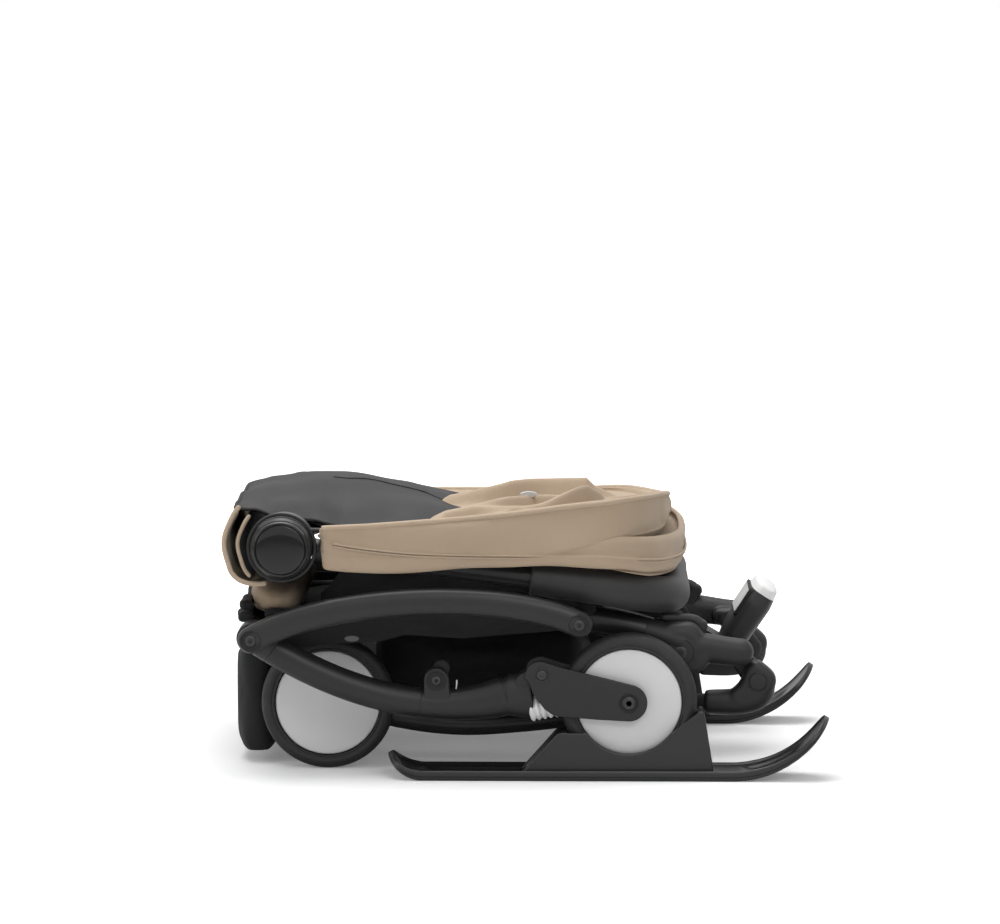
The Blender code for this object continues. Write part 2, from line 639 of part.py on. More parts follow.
def handle_grip(name):
    """Foam sleeve round the U, with rounded rims."""
    rim = GRIP_RADIUS - 0.002
    outer = handle_rings(GRIP_START, lambda n: [rim] + [GRIP_RADIUS] * (n - 2) + [rim])
    inner = handle_rings(GRIP_START, lambda n: [HANDLE_RADIUS + GAP] * n)
    return finish(name, loft(outer + inner[::-1], closed=True), "foam", HUB)


def hub_barrel(name, side):
    """Round barrel of the handlebar's fold."""
    low, high = BARREL_INNER, BARREL_OUTER
    profile = [(0.0262, low), (BARREL_RADIUS, low + 0.003), (BARREL_RADIUS, high - 0.004), (0.0282, high)]
    return finish(name, turned(HUB, [(r, side * y) for r, y in profile], closed=False), "moulding", HUB)


def bow_span():
    """Span of the canopy's ring along Y, just outside the handlebar's arm."""
    low = HANDLE_OFFSET + HANDLE_RADIUS + 0.0025
    return low, low + 0.005


def hub_cap(name, side):
    """Glossy domed cap."""
    low = BARREL_OUTER + GAP
    profile = [(CAP_RADIUS, low), (CAP_RADIUS, low + 0.0035), (CAP_RADIUS - 0.0018, low + 0.0058),
               (CAP_RADIUS - 0.009, low + 0.0078), (0.006, low + 0.0085)]
    return finish(name, turned(HUB, [(r, side * y) for r, y in profile], closed=False), "gloss cap", HUB)


def canopy_bow(name, side):
    """Ring round the barrel with the rod that enters the canopy's hem."""
    low, high = bow_span()
    inner = BARREL_RADIUS + 0.0006
    outer = inner + 0.0032
    ring = finish(name, turned(HUB, [(inner, side * low), (outer, side * low), (outer, side * high),
                                     (inner, side * high)]), "steel", HUB)
    lean = math.radians(32)
    start = np.array(HUB) + (inner + 0.0016) * np.array((math.cos(lean), math.sin(lean)))
    middle = side * (low + high) / 2
    path = [(start[0], middle, start[1]), (CANOPY_FRONT - SOFT_GAP, middle, start[1])]
    wire = finish(name + "_wire", sweep(path, [circle(BOW_RADIUS, 8)] * 2), "steel", HUB)
    unite(ring, wire)
    return ring


# Soft parts

def canopy_outline(inset, count=28):
    """Plan of the folded canopy, pulled in by inset: straight sides and a round rear end."""
    half = CANOPY_HALF_WIDTH - inset
    rear = CANOPY_REAR - inset
    front = CANOPY_FRONT + inset
    turn = 0.095
    angles = np.linspace(-90, 90, count // 2)
    cosines, sines = np.cos(np.radians(angles)), np.sin(np.radians(angles))
    round_end = np.stack([rear - turn + turn * np.abs(cosines) ** 0.8,
                          half * np.sign(sines) * np.abs(sines) ** 0.72], axis=1)
    xs = np.linspace(rear - turn, front + 0.012, 8)[1:]
    near = [(x, half) for x in xs] + [(front, half - 0.012)]
    across = [(front + 0.004, y) for y in (half * 0.5, 0.0, -half * 0.5)]
    back = [(x, -y) for x, y in near[::-1]]
    return np.vstack([round_end, near, across, back])


def stack(levels, outline):
    """Loft a plan outline over (inset, height) levels; a height may be a function of x."""
    rings = []
    for inset, height in levels:
        plan = outline(inset)
        z = height(plan[:, 0]) if callable(height) else np.full(len(plan), height)
        rings.append(np.column_stack([plan, z]))
    return loft(rings)


def canopy_underside(x):
    """Height of the canopy's underside, just over the grip and the arms."""
    return handle_height(x) + 0.0195 - 0.009 * np.clip(-(np.asarray(x) - 0.004) / 0.05, 0, 1) + SOFT_GAP


def skirt_height(x):
    """Lower edge of the skirt, which lifts at the round rear end and ends at the open front."""
    x = np.asarray(x)
    lift = 0.0025 * np.clip((x - 0.075) / 0.02, 0, 1) + 0.0075 * np.clip((x - 0.095) / 0.06, 0, 1) ** 2
    hang = CANOPY_TOP - SKIRT_DROP + lift
    open_front = np.clip((x - CANOPY_FRONT - 0.016) / 0.030, 0, 1)
    return canopy_underside(x) * (1 - open_front) + hang * open_front


def side_height(share):
    """Height at a share of the way from the skirt's lower edge to the canopy's top."""
    return lambda x: skirt_height(x) + share * (CANOPY_TOP - skirt_height(x))


def canopy_lower(name):
    """Lower layer: it lies on the grip, and its skirt hangs beside the arms."""
    levels = [
        (0.0600, canopy_underside),
        (0.0115, canopy_underside),
        (0.0080, skirt_height),
        (0.0035, skirt_height),
        (0.0000, side_height(0.12)),
        (0.0000, side_height(0.50)),
        (0.0032, side_height(0.58)),
        (0.0010, side_height(0.72)),
        (0.0070, side_height(0.92)),
        (0.0600, CANOPY_TOP),
    ]
    return finish(name, stack(levels, canopy_outline), "beige cloth", HUB, smooth=60)


def rim_height(x):
    """Height of the hood's rim, which rises to the rear."""
    share = np.clip((np.asarray(x) - CANOPY_FRONT) / (CANOPY_REAR - CANOPY_FRONT), 0, 1)
    rim = HOOD_RIM_LOW + (HOOD_RIM_HIGH - HOOD_RIM_LOW) * share ** 0.8
    open_front = np.clip((np.asarray(x) - CANOPY_FRONT - 0.027) / 0.020, 0, 1)
    low = HOOD_FLOOR + FRONT_RIM
    return low + (rim - low) * open_front


def wall_height(share):
    """Height at a share of the way up the hood's wall."""
    return lambda x: HOOD_FLOOR + share * (rim_height(x) - HOOD_FLOOR)


def hood_outline(inset):
    """Plan of the hood's standing wall, shorter than the layer under it."""
    plan = canopy_outline(inset + 0.009)
    squeeze = (CANOPY_REAR - 0.018 - CANOPY_FRONT) / (CANOPY_REAR - CANOPY_FRONT)
    plan[:, 0] = CANOPY_FRONT + 0.001 + (plan[:, 0] - CANOPY_FRONT) * squeeze
    return plan


def canopy_hood(name):
    """Upper layer: a basin of cloth with a piped rim."""
    levels = [
        (0.0700, HOOD_FLOOR),
        (0.0100, HOOD_FLOOR),
        (0.0005, wall_height(0.2)),
        (0.0000, wall_height(0.6)),
        (0.0028, wall_height(0.93)),
        (0.0050, wall_height(1.0)),
        (0.0080, wall_height(0.95)),
        (0.0105, wall_height(0.86)),
        (0.0130, HOOD_FLOOR + HOOD_CLOTH),
        (0.0700, HOOD_FLOOR + HOOD_CLOTH),
    ]
    return finish(name, stack(levels, hood_outline), "beige cloth", HUB, smooth=60)


def pillow(name, low, high, finish_name, origin, power=2.6, lift=0.0, across=8, along=11):
    """Soft closed form in a box: crowned top, flatter underside, drawn-in sides."""
    low, high = np.array(low), np.array(high)
    middle, half = (low + high) / 2, (high - low) / 2
    u = np.linspace(-1, 1, along)
    rings = []
    for s in u:
        waist = max(1 - abs(s) ** (power * 2), 0.0) ** 0.5
        angles = np.arange(across * 2) * math.pi / across
        c, d = np.cos(angles), np.sin(angles)
        spread = np.sign(c) * np.abs(c) ** 0.6 * (0.72 + 0.28 * waist)
        height = np.sign(d) * np.abs(d) ** 0.8 * max(waist, 0.12)
        rise = lift * (1 - s ** 2)
        rings.append(np.column_stack([np.full(len(angles), middle[0] + half[0] * s),
                                      middle[1] + half[1] * spread, middle[2] + half[2] * height + rise]))
    return finish(name, loft(rings), finish_name, origin, smooth=60)


def canopy_folds(name):
    """Crumpled cloth inside the hood, in three ridges across it."""
    floor = HOOD_FLOOR + HOOD_CLOTH + GAP
    xs = np.linspace(-0.056, 0.108, 14)
    rings = []
    for x in xs:
        share = (x - xs[0]) / (xs[-1] - xs[0])
        ridge = 0.5 + 0.5 * math.cos((share * 2.6 - 0.35) * 2 * math.pi)
        top = 0.010 + 0.0165 * ridge + 0.003 * share
        half = CANOPY_HALF_WIDTH - 0.0475 - 0.075 * share ** 3
        y = np.linspace(-1, 1, 13)
        crown = top * (1 - np.abs(y) ** 4) * (0.86 + 0.14 * np.cos(y * 5.0)) + 0.0012
        upper = np.column_stack([np.full(13, x), half * y, floor + crown])
        lower = np.column_stack([np.full(5, x), half * np.linspace(0.85, -0.85, 5), np.full(5, floor)])
        rings.append(np.vstack([upper, lower]))
    return finish(name, loft(rings), "beige cloth", HUB, smooth=60)


def canopy_panel(name):
    """Black rear panel, thrown forward over the hood."""
    floor = HOOD_FLOOR + FRONT_RIM + SOFT_GAP
    xs = np.linspace(-0.2654, -0.060, 15)
    rings = []
    for x in xs:
        share = (x - xs[0]) / (xs[-1] - xs[0])
        arch = math.sin(math.pi * min(share * 0.92 + 0.10, 1.0)) ** 0.55
        top = 0.0255 * arch * (1 - 0.45 * share ** 2) + 0.002
        half = (CANOPY_HALF_WIDTH - 0.077) * (0.90 + 0.10 * math.sin(math.pi * min(share * 1.6 + 0.15, 1)))
        y = np.linspace(-1, 1, 13)
        crown = top * (1 - 0.6 * np.abs(y) ** 5) + 0.0008 * np.cos(y * 9)
        upper = np.column_stack([np.full(13, x), half * y, floor + crown])
        lower = np.column_stack([np.full(5, x), half * np.linspace(0.9, -0.9, 5), np.full(5, floor)])
        rings.append(np.vstack([upper, lower]))
    return finish(name, loft(rings), "black cloth", HUB, smooth=60)


def canopy_roll(name):
    """Rear skirt of the canopy, folded round the front of the hubs."""
    outer, inner = 0.0570, 0.0450
    rings = []
    half = HALF_WIDTH - 0.025
    for y in np.linspace(-half, half, 9):
        tuck = 0.0015 * math.cos(y * 40)
        outline = np.vstack([arc(HUB, outer + tuck, 128, 212, 10), arc(HUB, inner, 212, 128, 10)])
        rings.append(flat_path(outline, y))
    return finish(name, loft(rings), "beige cloth", HUB, smooth=60)


def seat_sling(name):
    """Seat cloth between the seat bars, sagging in the middle."""
    half = REAR_ARM_OFFSET - SEAT_BAR_RADIUS - SOFT_GAP
    y = np.linspace(-1, 1, 9)
    rings = []
    for x in np.linspace(-0.248, -0.014, 10):
        level = seat_bar_height(x)
        sag = 0.012 * math.sin(math.pi * (x + 0.248) / 0.234) * (1 - y ** 2) + 0.002 * (1 - y ** 2)
        upper = np.column_stack([np.full(9, x), half * y, level + 0.0035 - sag])
        lower = np.column_stack([np.full(9, x), half * y[::-1], level - 0.0035 - sag[::-1]])
        rings.append(np.vstack([upper, lower]))
    return finish(name, loft(rings), "black cloth", smooth=60)


def seat_bar_height(x):
    """Height of the seat bars, level with the line from the front tube to the rail's bolt."""
    share = (np.asarray(x) - FRONT_PIVOT[0]) / (RAIL_REAR[0] - FRONT_PIVOT[0])
    return FRONT_PIVOT[1] + 0.005 + (RAIL_REAR[1] - FRONT_PIVOT[1] - 0.005) * share


def seat_bar(name, side):
    """Straight bar that carries the seat cloth."""
    xs = np.array([FRONT_PIVOT[0] + SHAFT_RADIUS + 0.0006, RAIL_REAR[0] - REAR_ARM_RADIUS - 0.0006])
    path = np.column_stack([xs, seat_bar_height(xs)])
    return finish(name, sweep(flat_path(path, side * REAR_ARM_OFFSET), [circle(SEAT_BAR_RADIUS, 12)] * 2),
                  "painted tube")


def backrest_pad(name):
    """Padded back cloth between the back arms."""
    hinge, hub = np.array(REAR_PIVOT), np.array(HUB)
    length = np.linalg.norm(hub - hinge)
    heading = (hub - hinge) / length
    up = np.array((-heading[1], heading[0]))
    if up[1] < 0:
        up = -up
    y = np.linspace(-1, 1, 9)
    half = back_arm_inner() - SOFT_GAP
    rings = []
    start, end = 0.125, length - 0.050
    for reach in np.linspace(start, end, 13):
        share = (reach - start) / (end - start)
        waist = 0.35 + 0.65 * math.sin(math.pi * share) ** 0.4
        seams = 1 - 0.28 * math.cos(share * 8 * math.pi) ** 8
        thick = 0.0075 * waist * seams * (1 - np.abs(y) ** 6) + 0.0012
        centre = hinge + heading * reach
        upper = centre + up * thick[:, None]
        lower = centre - up * 0.8 * thick[::-1][:, None]
        rings.append(np.vstack([np.column_stack([upper[:, 0], half * y, upper[:, 1]]),
                                np.column_stack([lower[:, 0], half * y[::-1], lower[:, 1]])]))
    return finish(name, loft(rings), "black cloth", REAR_PIVOT, smooth=60)


# The whole stroller

def make_side(side, word):
    """Every piece that the stroller has once on each side."""
    side_rail("side_rail_" + word, side)
    front_leg("front_leg_" + word, side)
    caster_socket("caster_socket_" + word, side)
    fold_lock("fold_lock_" + word, side)
    suspension_arm("suspension_arm_" + word, side)
    pin_between_plates("suspension_pin_" + word, side, SUSPENSION_PIVOT, PIN_RADIUS, SUSPENSION_PIVOT)
    pin_between_plates("front_axle_" + word, side, FRONT_AXLE, AXLE_RADIUS, SUSPENSION_PIVOT)
    suspension_spring("suspension_spring_" + word, side)
    tyre("front_tyre_" + word, side, FRONT_AXLE, LEG_Y)
    wheel_disc("front_wheel_disc_" + word, side, FRONT_AXLE, LEG_Y)
    ski("ski_" + word, side)
    rear_arm("rear_arm_" + word, side)
    rear_leg("rear_leg_" + word, side)
    tyre("rear_tyre_" + word, side, REAR_AXLE, REAR_WHEEL_OFFSET)
    wheel_disc("rear_wheel_disc_" + word, side, REAR_AXLE, REAR_WHEEL_OFFSET)
    back_arm("back_arm_" + word, side)
    hub_barrel("hub_barrel_" + word, side)
    hub_cap("hub_cap_" + word, side)
    canopy_bow("canopy_bow_" + word, side)
    seat_bar("seat_bar_" + word, side)


def make_cross_members():
    """Tubes that join the two sides."""
    reach = RAIL_INNER - GAP
    finish("front_cross_tube", rod(FRONT_PIVOT, SHAFT_RADIUS, -reach, reach, sides=16), "painted tube")
    reach = back_arm_inner() - SIDE_PLAY - GAP
    finish("rear_cross_tube", rod(REAR_PIVOT, SHAFT_RADIUS, -reach, reach, sides=16), "painted tube")
    reach = REAR_LEG_OFFSET - 0.012 - GAP
    finish("rear_axle_bar", rod(REAR_AXLE, 0.007, -reach, reach, sides=16), "painted tube", ELBOW)
    reach = back_arm_inner() - GAP
    finish("back_cross_bar", rod(HUB, SHAFT_RADIUS, -reach, reach, sides=16), "painted tube", REAR_PIVOT)
    brake_pedal("brake_pedal")
    handlebar("handlebar")
    handle_grip("handle_grip")


def make_release():
    """Release grip and the bracket that carries it on the rear cross tube."""
    foot = np.array((0.201, WHEEL_TOP - 0.022))
    lean = math.radians(57)
    heading = np.array((math.cos(lean), math.sin(lean)))
    path = foot + heading * np.linspace(0, 0.056, 5)[:, None]
    shape = np.array([(-0.048, -0.010), (-0.045, -0.0135), (0.045, -0.0135), (0.048, -0.010),
                      (0.048, 0.010), (0.045, 0.0135), (-0.045, 0.0135), (-0.048, 0.010)])
    shares = (0.80, 0.95, 1.0, 1.0, 0.86)
    sections = [shape * (1.0, share) for share in shares]
    finish("release_grip", sweep(flat_path(path, 0.0), sections, round_end=0.006), "moulding",
           (float(foot[0]), float(foot[1])))
    x, z = REAR_PIVOT
    clear = SHAFT_RADIUS + GAP
    end = foot - heading * GAP * 1.5
    outline = np.vstack([arc((x, z), clear, 60, -60, 7),
                         [(x + 0.018, z - 0.014), tuple(end + (0.012, -0.0082)), tuple(end + (-0.0095, 0.0064)),
                          (x + 0.018, z + 0.010)]])
    finish("release_bracket", prism(outline, -0.024, 0.024), "moulding")


def make_soft_parts():
    """Canopy, seat, basket and calf rest."""
    canopy_lower("canopy_lower")
    canopy_hood("canopy_hood")
    canopy_folds("canopy_folds")
    canopy_panel("canopy_panel")
    canopy_roll("canopy_roll")
    seat_sling("seat_sling")
    backrest_pad("backrest_pad")
    top = FRONT_PIVOT[1] + SHAFT_RADIUS
    pillow("seat_front_roll", (-0.268, -SEAT_HALF, top - GAP), (-0.216, SEAT_HALF, top + 0.034),
           "beige cloth", (0, 0), along=9)
    pillow("basket", (-0.118, -BASKET_HALF, WHEEL_TOP - 0.0588), (0.060, BASKET_HALF, WHEEL_TOP + 0.0032),
           "black cloth", (0, 0))
    under_tube = FRONT_PIVOT[1] - SHAFT_RADIUS - SOFT_GAP
    pillow("calf_rest", (-0.276, -CALF_HALF, 0.009), (-0.246, CALF_HALF, under_tube), "black cloth", (0, 0), along=9)


def main():
    """Build the stroller."""
    clear_scene()
    for side, word in ((-1, "left"), (1, "right")):
        make_side(side, word)
    make_cross_members()
    make_release()
    make_soft_parts()


main()
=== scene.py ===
"""Dressed model of a compact travel stroller, folded flat on a pair of snow skis.

Metres, +Z up, -X the stroller's front, -Y its left side, which faces the camera.
Surfaces are worked out as whole numpy arrays: a grid of rings, each ring a closed
profile, is turned into a mesh by Workshop. Finishes are small frozen dataclasses whose
node trees are written as Python expressions on sockets.
"""

from __future__ import annotations

import json
import logging
import math
from dataclasses import dataclass, field
from enum import Enum
from typing import Any, Callable, Sequence

import bmesh
import bpy
import numpy as np
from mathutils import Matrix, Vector

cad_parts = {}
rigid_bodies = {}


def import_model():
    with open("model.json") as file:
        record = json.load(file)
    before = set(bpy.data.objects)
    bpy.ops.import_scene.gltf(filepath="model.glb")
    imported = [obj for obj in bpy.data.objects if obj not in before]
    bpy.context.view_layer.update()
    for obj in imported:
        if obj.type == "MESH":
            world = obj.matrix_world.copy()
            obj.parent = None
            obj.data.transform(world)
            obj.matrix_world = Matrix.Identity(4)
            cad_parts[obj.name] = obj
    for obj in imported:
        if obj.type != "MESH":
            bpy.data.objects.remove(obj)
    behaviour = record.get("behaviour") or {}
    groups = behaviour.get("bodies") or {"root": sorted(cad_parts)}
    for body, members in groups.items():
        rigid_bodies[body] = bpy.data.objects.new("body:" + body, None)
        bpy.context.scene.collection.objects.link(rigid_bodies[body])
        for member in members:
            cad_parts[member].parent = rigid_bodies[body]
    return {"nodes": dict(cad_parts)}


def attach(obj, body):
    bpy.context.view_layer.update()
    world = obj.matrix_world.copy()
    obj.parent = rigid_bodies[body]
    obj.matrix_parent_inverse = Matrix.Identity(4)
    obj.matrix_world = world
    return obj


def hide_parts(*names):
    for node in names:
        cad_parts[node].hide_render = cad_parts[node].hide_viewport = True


LOG = logging.getLogger("stroller")
Array = np.ndarray
Point = tuple[float, float]


class Side(Enum):
    """The two sides of the stroller; the value is the sign of y."""

    LEFT = -1
    RIGHT = 1

    @property
    def word(self) -> str:
        """Ending of the side's node names."""
        return self.name.lower()


class Slot(str, Enum):
    """Material slots of the record."""

    TUBE = "painted_tube"
    MOULDING = "moulding"
    STEEL = "steel_dark"
    TYRE = "tyre"
    DISC = "wheel_disc"
    BUFFER = "buffer"
    SKI = "ski"
    FOAM = "foam"
    CAP = "gloss_cap"
    BEIGE = "beige_cloth"
    BLACK = "black_cloth"


# Node trees


class Signal:
    """One socket of a node tree that takes Python arithmetic."""

    def __init__(self, graph: Graph, socket: bpy.types.NodeSocket) -> None:
        """Wrap a socket."""
        self.graph = graph
        self.socket = socket

    def _math(self, operation: str, first: Any, second: Any = 0.0) -> Signal:
        """Add a Math node on two values or signals."""
        return self.graph.node("ShaderNodeMath", {"operation": operation}, {0: first, 1: second})

    def __add__(self, other: Any) -> Signal:
        """Sum."""
        return self._math("ADD", self, other)

    def __sub__(self, other: Any) -> Signal:
        """Difference."""
        return self._math("SUBTRACT", self, other)

    def __mul__(self, other: Any) -> Signal:
        """Product."""
        return self._math("MULTIPLY", self, other)

    def __pow__(self, other: Any) -> Signal:
        """Power."""
        return self._math("POWER", self, other)

    __radd__ = __add__
    __rmul__ = __mul__

    def sine(self) -> Signal:
        """Sine of the signal in radians."""
        return self._math("SINE", self)

    def ramp(self, low: float, high: float) -> Signal:
        """0 below low, 1 above high, smooth between."""
        return self.graph.node("ShaderNodeMapRange", {"interpolation_type": "SMOOTHSTEP"},
                               {"Value": self, "From Min": low, "From Max": high})


class Graph:
    """A material's node tree, built from expressions."""

    def __init__(self, name: str) -> None:
        """Start an empty material."""
        self.material = bpy.data.materials.new(name)
        self.material.use_nodes = True
        self.tree = self.material.node_tree
        self.tree.nodes.clear()

    def node(self, kind: str, settings: dict[str, Any] | None = None, inputs: dict[Any, Any] | None = None,
             output: Any = 0) -> Signal:
        """Add one node.

        Args:
            kind: the node's type.
            settings: properties set first, such as an operation.
            inputs: values or signals by socket name or number.
            output: name or number of the socket returned.

        Returns:
            The chosen output.
        """
        made = self.tree.nodes.new(kind)
        for key, value in (settings or {}).items():
            setattr(made, key, value)
        for key, value in (inputs or {}).items():
            if isinstance(value, Signal):
                self.tree.links.new(value.socket, made.inputs[key])
            else:
                made.inputs[key].default_value = value
        return Signal(self, made.outputs[output])

    def place(self) -> Signal:
        """Object coordinates in metres."""
        return self.node("ShaderNodeTexCoord", output="Object")

    def cloth_place(self) -> Signal:
        """The piece's own coordinates along and across its cloth, in metres."""
        return self.node("ShaderNodeUVMap", {"uv_map": "cloth"})

    def axes(self, place: Signal) -> tuple[Signal, Signal, Signal]:
        """Split a place into its three numbers."""
        made = self.node("ShaderNodeSeparateXYZ", None, {0: place})
        outputs = made.socket.node.outputs
        return tuple(Signal(self, outputs[k]) for k in range(3))

    def noise(self, place: Signal, size: float, detail: float = 2.0, rough: float = 0.5) -> Signal:
        """Soft noise from 0 to 1 whose blotches are about size metres across."""
        return self.node("ShaderNodeTexNoise", None, {"Vector": place, "Scale": 1.0 / size, "Detail": detail,
                                                      "Roughness": rough})

    def cells(self, place: Signal, size: float) -> Signal:
        """Distance to the nearest cell centre, for sparked or foamed skins."""
        return self.node("ShaderNodeTexVoronoi", None, {"Vector": place, "Scale": 1.0 / size})

    def mix(self, mask: Any, first: Any, second: Any) -> Signal:
        """Blend two colours."""
        return self.node("ShaderNodeMix", {"data_type": "RGBA"}, {0: mask, 6: first, 7: second}, output=2)

    def surface(self, colour: Any, roughness: Any, height: Signal | None = None, depth: float = 0.0,
                metallic: float = 0.0, fixed: dict[str, Any] | None = None) -> bpy.types.Material:
        """Close the tree with a Principled shader.

        Args:
            colour: value or signal.
            roughness: value or signal.
            height: signal from 0 to 1 that raises the surface.
            depth: how far a height of 1 stands proud, in metres.
            metallic: 0 or 1.
            fixed: other sockets, by name, the same all over.

        Returns:
            The finished material.
        """
        inputs: dict[str, Any] = {"Base Color": colour, "Roughness": roughness, "Metallic": metallic}
        inputs.update(fixed or {})
        if height is not None:
            inputs["Normal"] = self.node("ShaderNodeBump", None, {"Height": height, "Distance": depth})
        shader = self.node("ShaderNodeBsdfPrincipled", None, inputs)
        output = self.tree.nodes.new("ShaderNodeOutputMaterial")
        self.tree.links.new(shader.socket, output.inputs["Surface"])
        return self.material


def grey(level: float, warm: float = 0.0) -> tuple[float, float, float, float]:
    """A near-neutral colour, warmer for a positive second value."""
    return (level * (1 + warm), level, level * (1 - warm), 1.0)


@dataclass(frozen=True)
class PowderCoat:
    """Satin black powder coat: fine orange peel over a slow mottle."""

    level: float = 0.014
    roughness: float = 0.36
    peel: float = 0.0011

    def material(self, name: str) -> bpy.types.Material:
        """Return the finish's material."""
        g = Graph(name)
        place = g.place()
        mottle = g.noise(place, 0.035, 3.0)
        peel = g.noise(place, self.peel, 1.0)
        rub = g.noise(place, 0.009, 5.0, 0.7).ramp(0.60, 0.74)
        colour = g.mix(mottle, grey(self.level * 0.85), grey(self.level * 1.2))
        colour = g.mix(rub * 0.25, colour, grey(self.level * 2.0))
        return g.surface(colour, self.roughness + mottle * 0.07 + rub * 0.05, peel, 0.00004,
                         fixed={"Specular IOR Level": 0.32})


@dataclass(frozen=True)
class Moulding:
    """Black glass-filled plastic with a sparked skin."""

    level: float = 0.013
    roughness: float = 0.42
    grain: float = 0.0007

    def material(self, name: str) -> bpy.types.Material:
        """Return the finish's material."""
        g = Graph(name)
        place = g.place()
        spark = g.noise(place, self.grain, 2.0, 0.6)
        mottle = g.noise(place, 0.022, 3.0)
        colour = g.mix(mottle, grey(self.level * 0.8), grey(self.level * 1.25))
        return g.surface(colour, self.roughness + spark * 0.10 + mottle * 0.05, spark, 0.00007,
                         fixed={"Specular IOR Level": 0.34})


@dataclass(frozen=True)
class SkiPlastic:
    """Black polyethylene with a soft sheen and fine lengthwise scuffs."""

    level: float = 0.014
    roughness: float = 0.32

    def material(self, name: str) -> bpy.types.Material:
        """Return the finish's material."""
        g = Graph(name)
        place = g.place()
        drawn = g.node("ShaderNodeMapping", None, {"Vector": place, "Scale": (0.08, 1.0, 1.0)})
        scuff = g.noise(drawn, 0.0016, 4.0, 0.7).ramp(0.58, 0.80)
        mottle = g.noise(place, 0.05, 3.0)
        colour = g.mix(scuff * 0.35, grey(self.level), grey(self.level * 2.6))
        return g.surface(colour, self.roughness + mottle * 0.08 + scuff * 0.10, g.noise(place, 0.004, 3.0), 0.00006,
                         fixed={"Specular IOR Level": 0.38})


@dataclass(frozen=True)
class Gloss:
    """Polished black cap under a clear coat, with faint dust."""

    level: float = 0.004

    def material(self, name: str) -> bpy.types.Material:
        """Return the finish's material."""
        g = Graph(name)
        place = g.place()
        dust = g.noise(place, 0.0012, 6.0, 0.8).ramp(0.66, 0.82)
        haze = g.noise(place, 0.015, 2.0)
        colour = g.mix(dust * 0.12, grey(self.level), grey(0.05))
        return g.surface(colour, 0.05 + haze * 0.04 + dust * 0.12,
                         fixed={"Specular IOR Level": 0.3, "Coat Weight": 0.25, "Coat Roughness": 0.03})


@dataclass(frozen=True)
class Foam:
    """Closed-cell foam sleeve: fine cells, matt, slightly worn where it is held."""

    level: float = 0.020
    cell: float = 0.0009

    def material(self, name: str) -> bpy.types.Material:
        """Return the finish's material."""
        g = Graph(name)
        place = g.place()
        cell = g.cells(place, self.cell)
        wear = g.noise(place, 0.03, 4.0, 0.6)
        colour = g.mix(wear, grey(self.level * 0.8), grey(self.level * 1.3))
        return g.surface(colour, 0.50 + wear * 0.12, cell * 0.6 + g.noise(place, 0.0004, 2.0) * 0.4, 0.00012,
                         fixed={"Specular IOR Level": 0.35, "Sheen Weight": 0.04, "Sheen Roughness": 0.5})


@dataclass(frozen=True)
class Rubber:
    """Matt tyre rubber, dusty in the low places."""

    level: float = 0.014
    roughness: float = 0.52

    def material(self, name: str) -> bpy.types.Material:
        """Return the finish's material."""
        g = Graph(name)
        place = g.place()
        dust = g.noise(place, 0.018, 5.0, 0.65)
        grain = g.noise(place, 0.0008, 2.0)
        colour = g.mix(dust.ramp(0.45, 0.8) * 0.5, grey(self.level), grey(self.level * 2.2, 0.05))
        return g.surface(colour, self.roughness + dust * 0.14, grain, 0.00008, fixed={"Specular IOR Level": 0.35})


@dataclass(frozen=True)
class Pale:
    """Pale wheel disc or buffer: even plastic with a faint flow mark."""

    level: float = 0.60
    roughness: float = 0.42

    def material(self, name: str) -> bpy.types.Material:
        """Return the finish's material."""
        g = Graph(name)
        place = g.place()
        flow = g.noise(place, 0.06, 2.0)
        speck = g.noise(place, 0.0012, 3.0, 0.7)
        colour = g.mix(flow, grey(self.level * 0.96), grey(self.level * 1.03, 0.004))
        return g.surface(colour, self.roughness + flow * 0.06 + speck * 0.05, speck, 0.00003)


@dataclass(frozen=True)
class Steel:
    """Bolt steel: dark or bright, turned."""

    level: float = 0.20
    roughness: float = 0.30

    def material(self, name: str) -> bpy.types.Material:
        """Return the finish's material."""
        g = Graph(name)
        place = g.place()
        turn = g.noise(place, 0.0009, 3.0, 0.7)
        stain = g.noise(place, 0.006, 3.0)
        colour = g.mix(stain, grey(self.level * 0.8), grey(self.level * 1.2))
        return g.surface(colour, self.roughness + turn * 0.12, turn, 0.00003, metallic=1.0)


@dataclass(frozen=True)
class Cloth:
    """Woven cloth: a fine twill that follows the piece, slubs, and slow shading."""

    colour: tuple[float, float, float] = (0.385, 0.293, 0.205)
    shade: float = 0.84
    thread: float = 0.0009
    roughness: float = 0.78
    woven: bool = True
    sheen: float = 0.12
    gleam: float = 0.5

    def material(self, name: str) -> bpy.types.Material:
        """Return the finish's material."""
        g = Graph(name)
        place = g.place()
        along, across, third = g.axes(g.cloth_place() if self.woven else place)
        turn = 2 * math.pi / self.thread
        if not self.woven:
            across = across + third
        twill = ((along + across * 0.5) * turn).sine() * 0.5 + 0.5
        weft = ((across - along * 0.5) * turn).sine() * 0.5 + 0.5
        weave = twill * 0.6 + weft * 0.4
        slub = g.noise(place, 0.004, 3.0, 0.6)
        slow = g.noise(place, 0.05, 3.0)
        dark = tuple(c * self.shade for c in self.colour) + (1.0,)
        light = tuple(min(c * 1.06, 1.0) for c in self.colour) + (1.0,)
        colour = g.mix(weave * 0.30 + slub * 0.30 + slow * 0.40, dark, light)
        return g.surface(colour, self.roughness + weave * 0.08, weave * 0.5 + slub * 0.5, 0.00018,
                         fixed={"Specular IOR Level": self.gleam, "Sheen Weight": self.sheen,
                                "Sheen Roughness": 0.45})


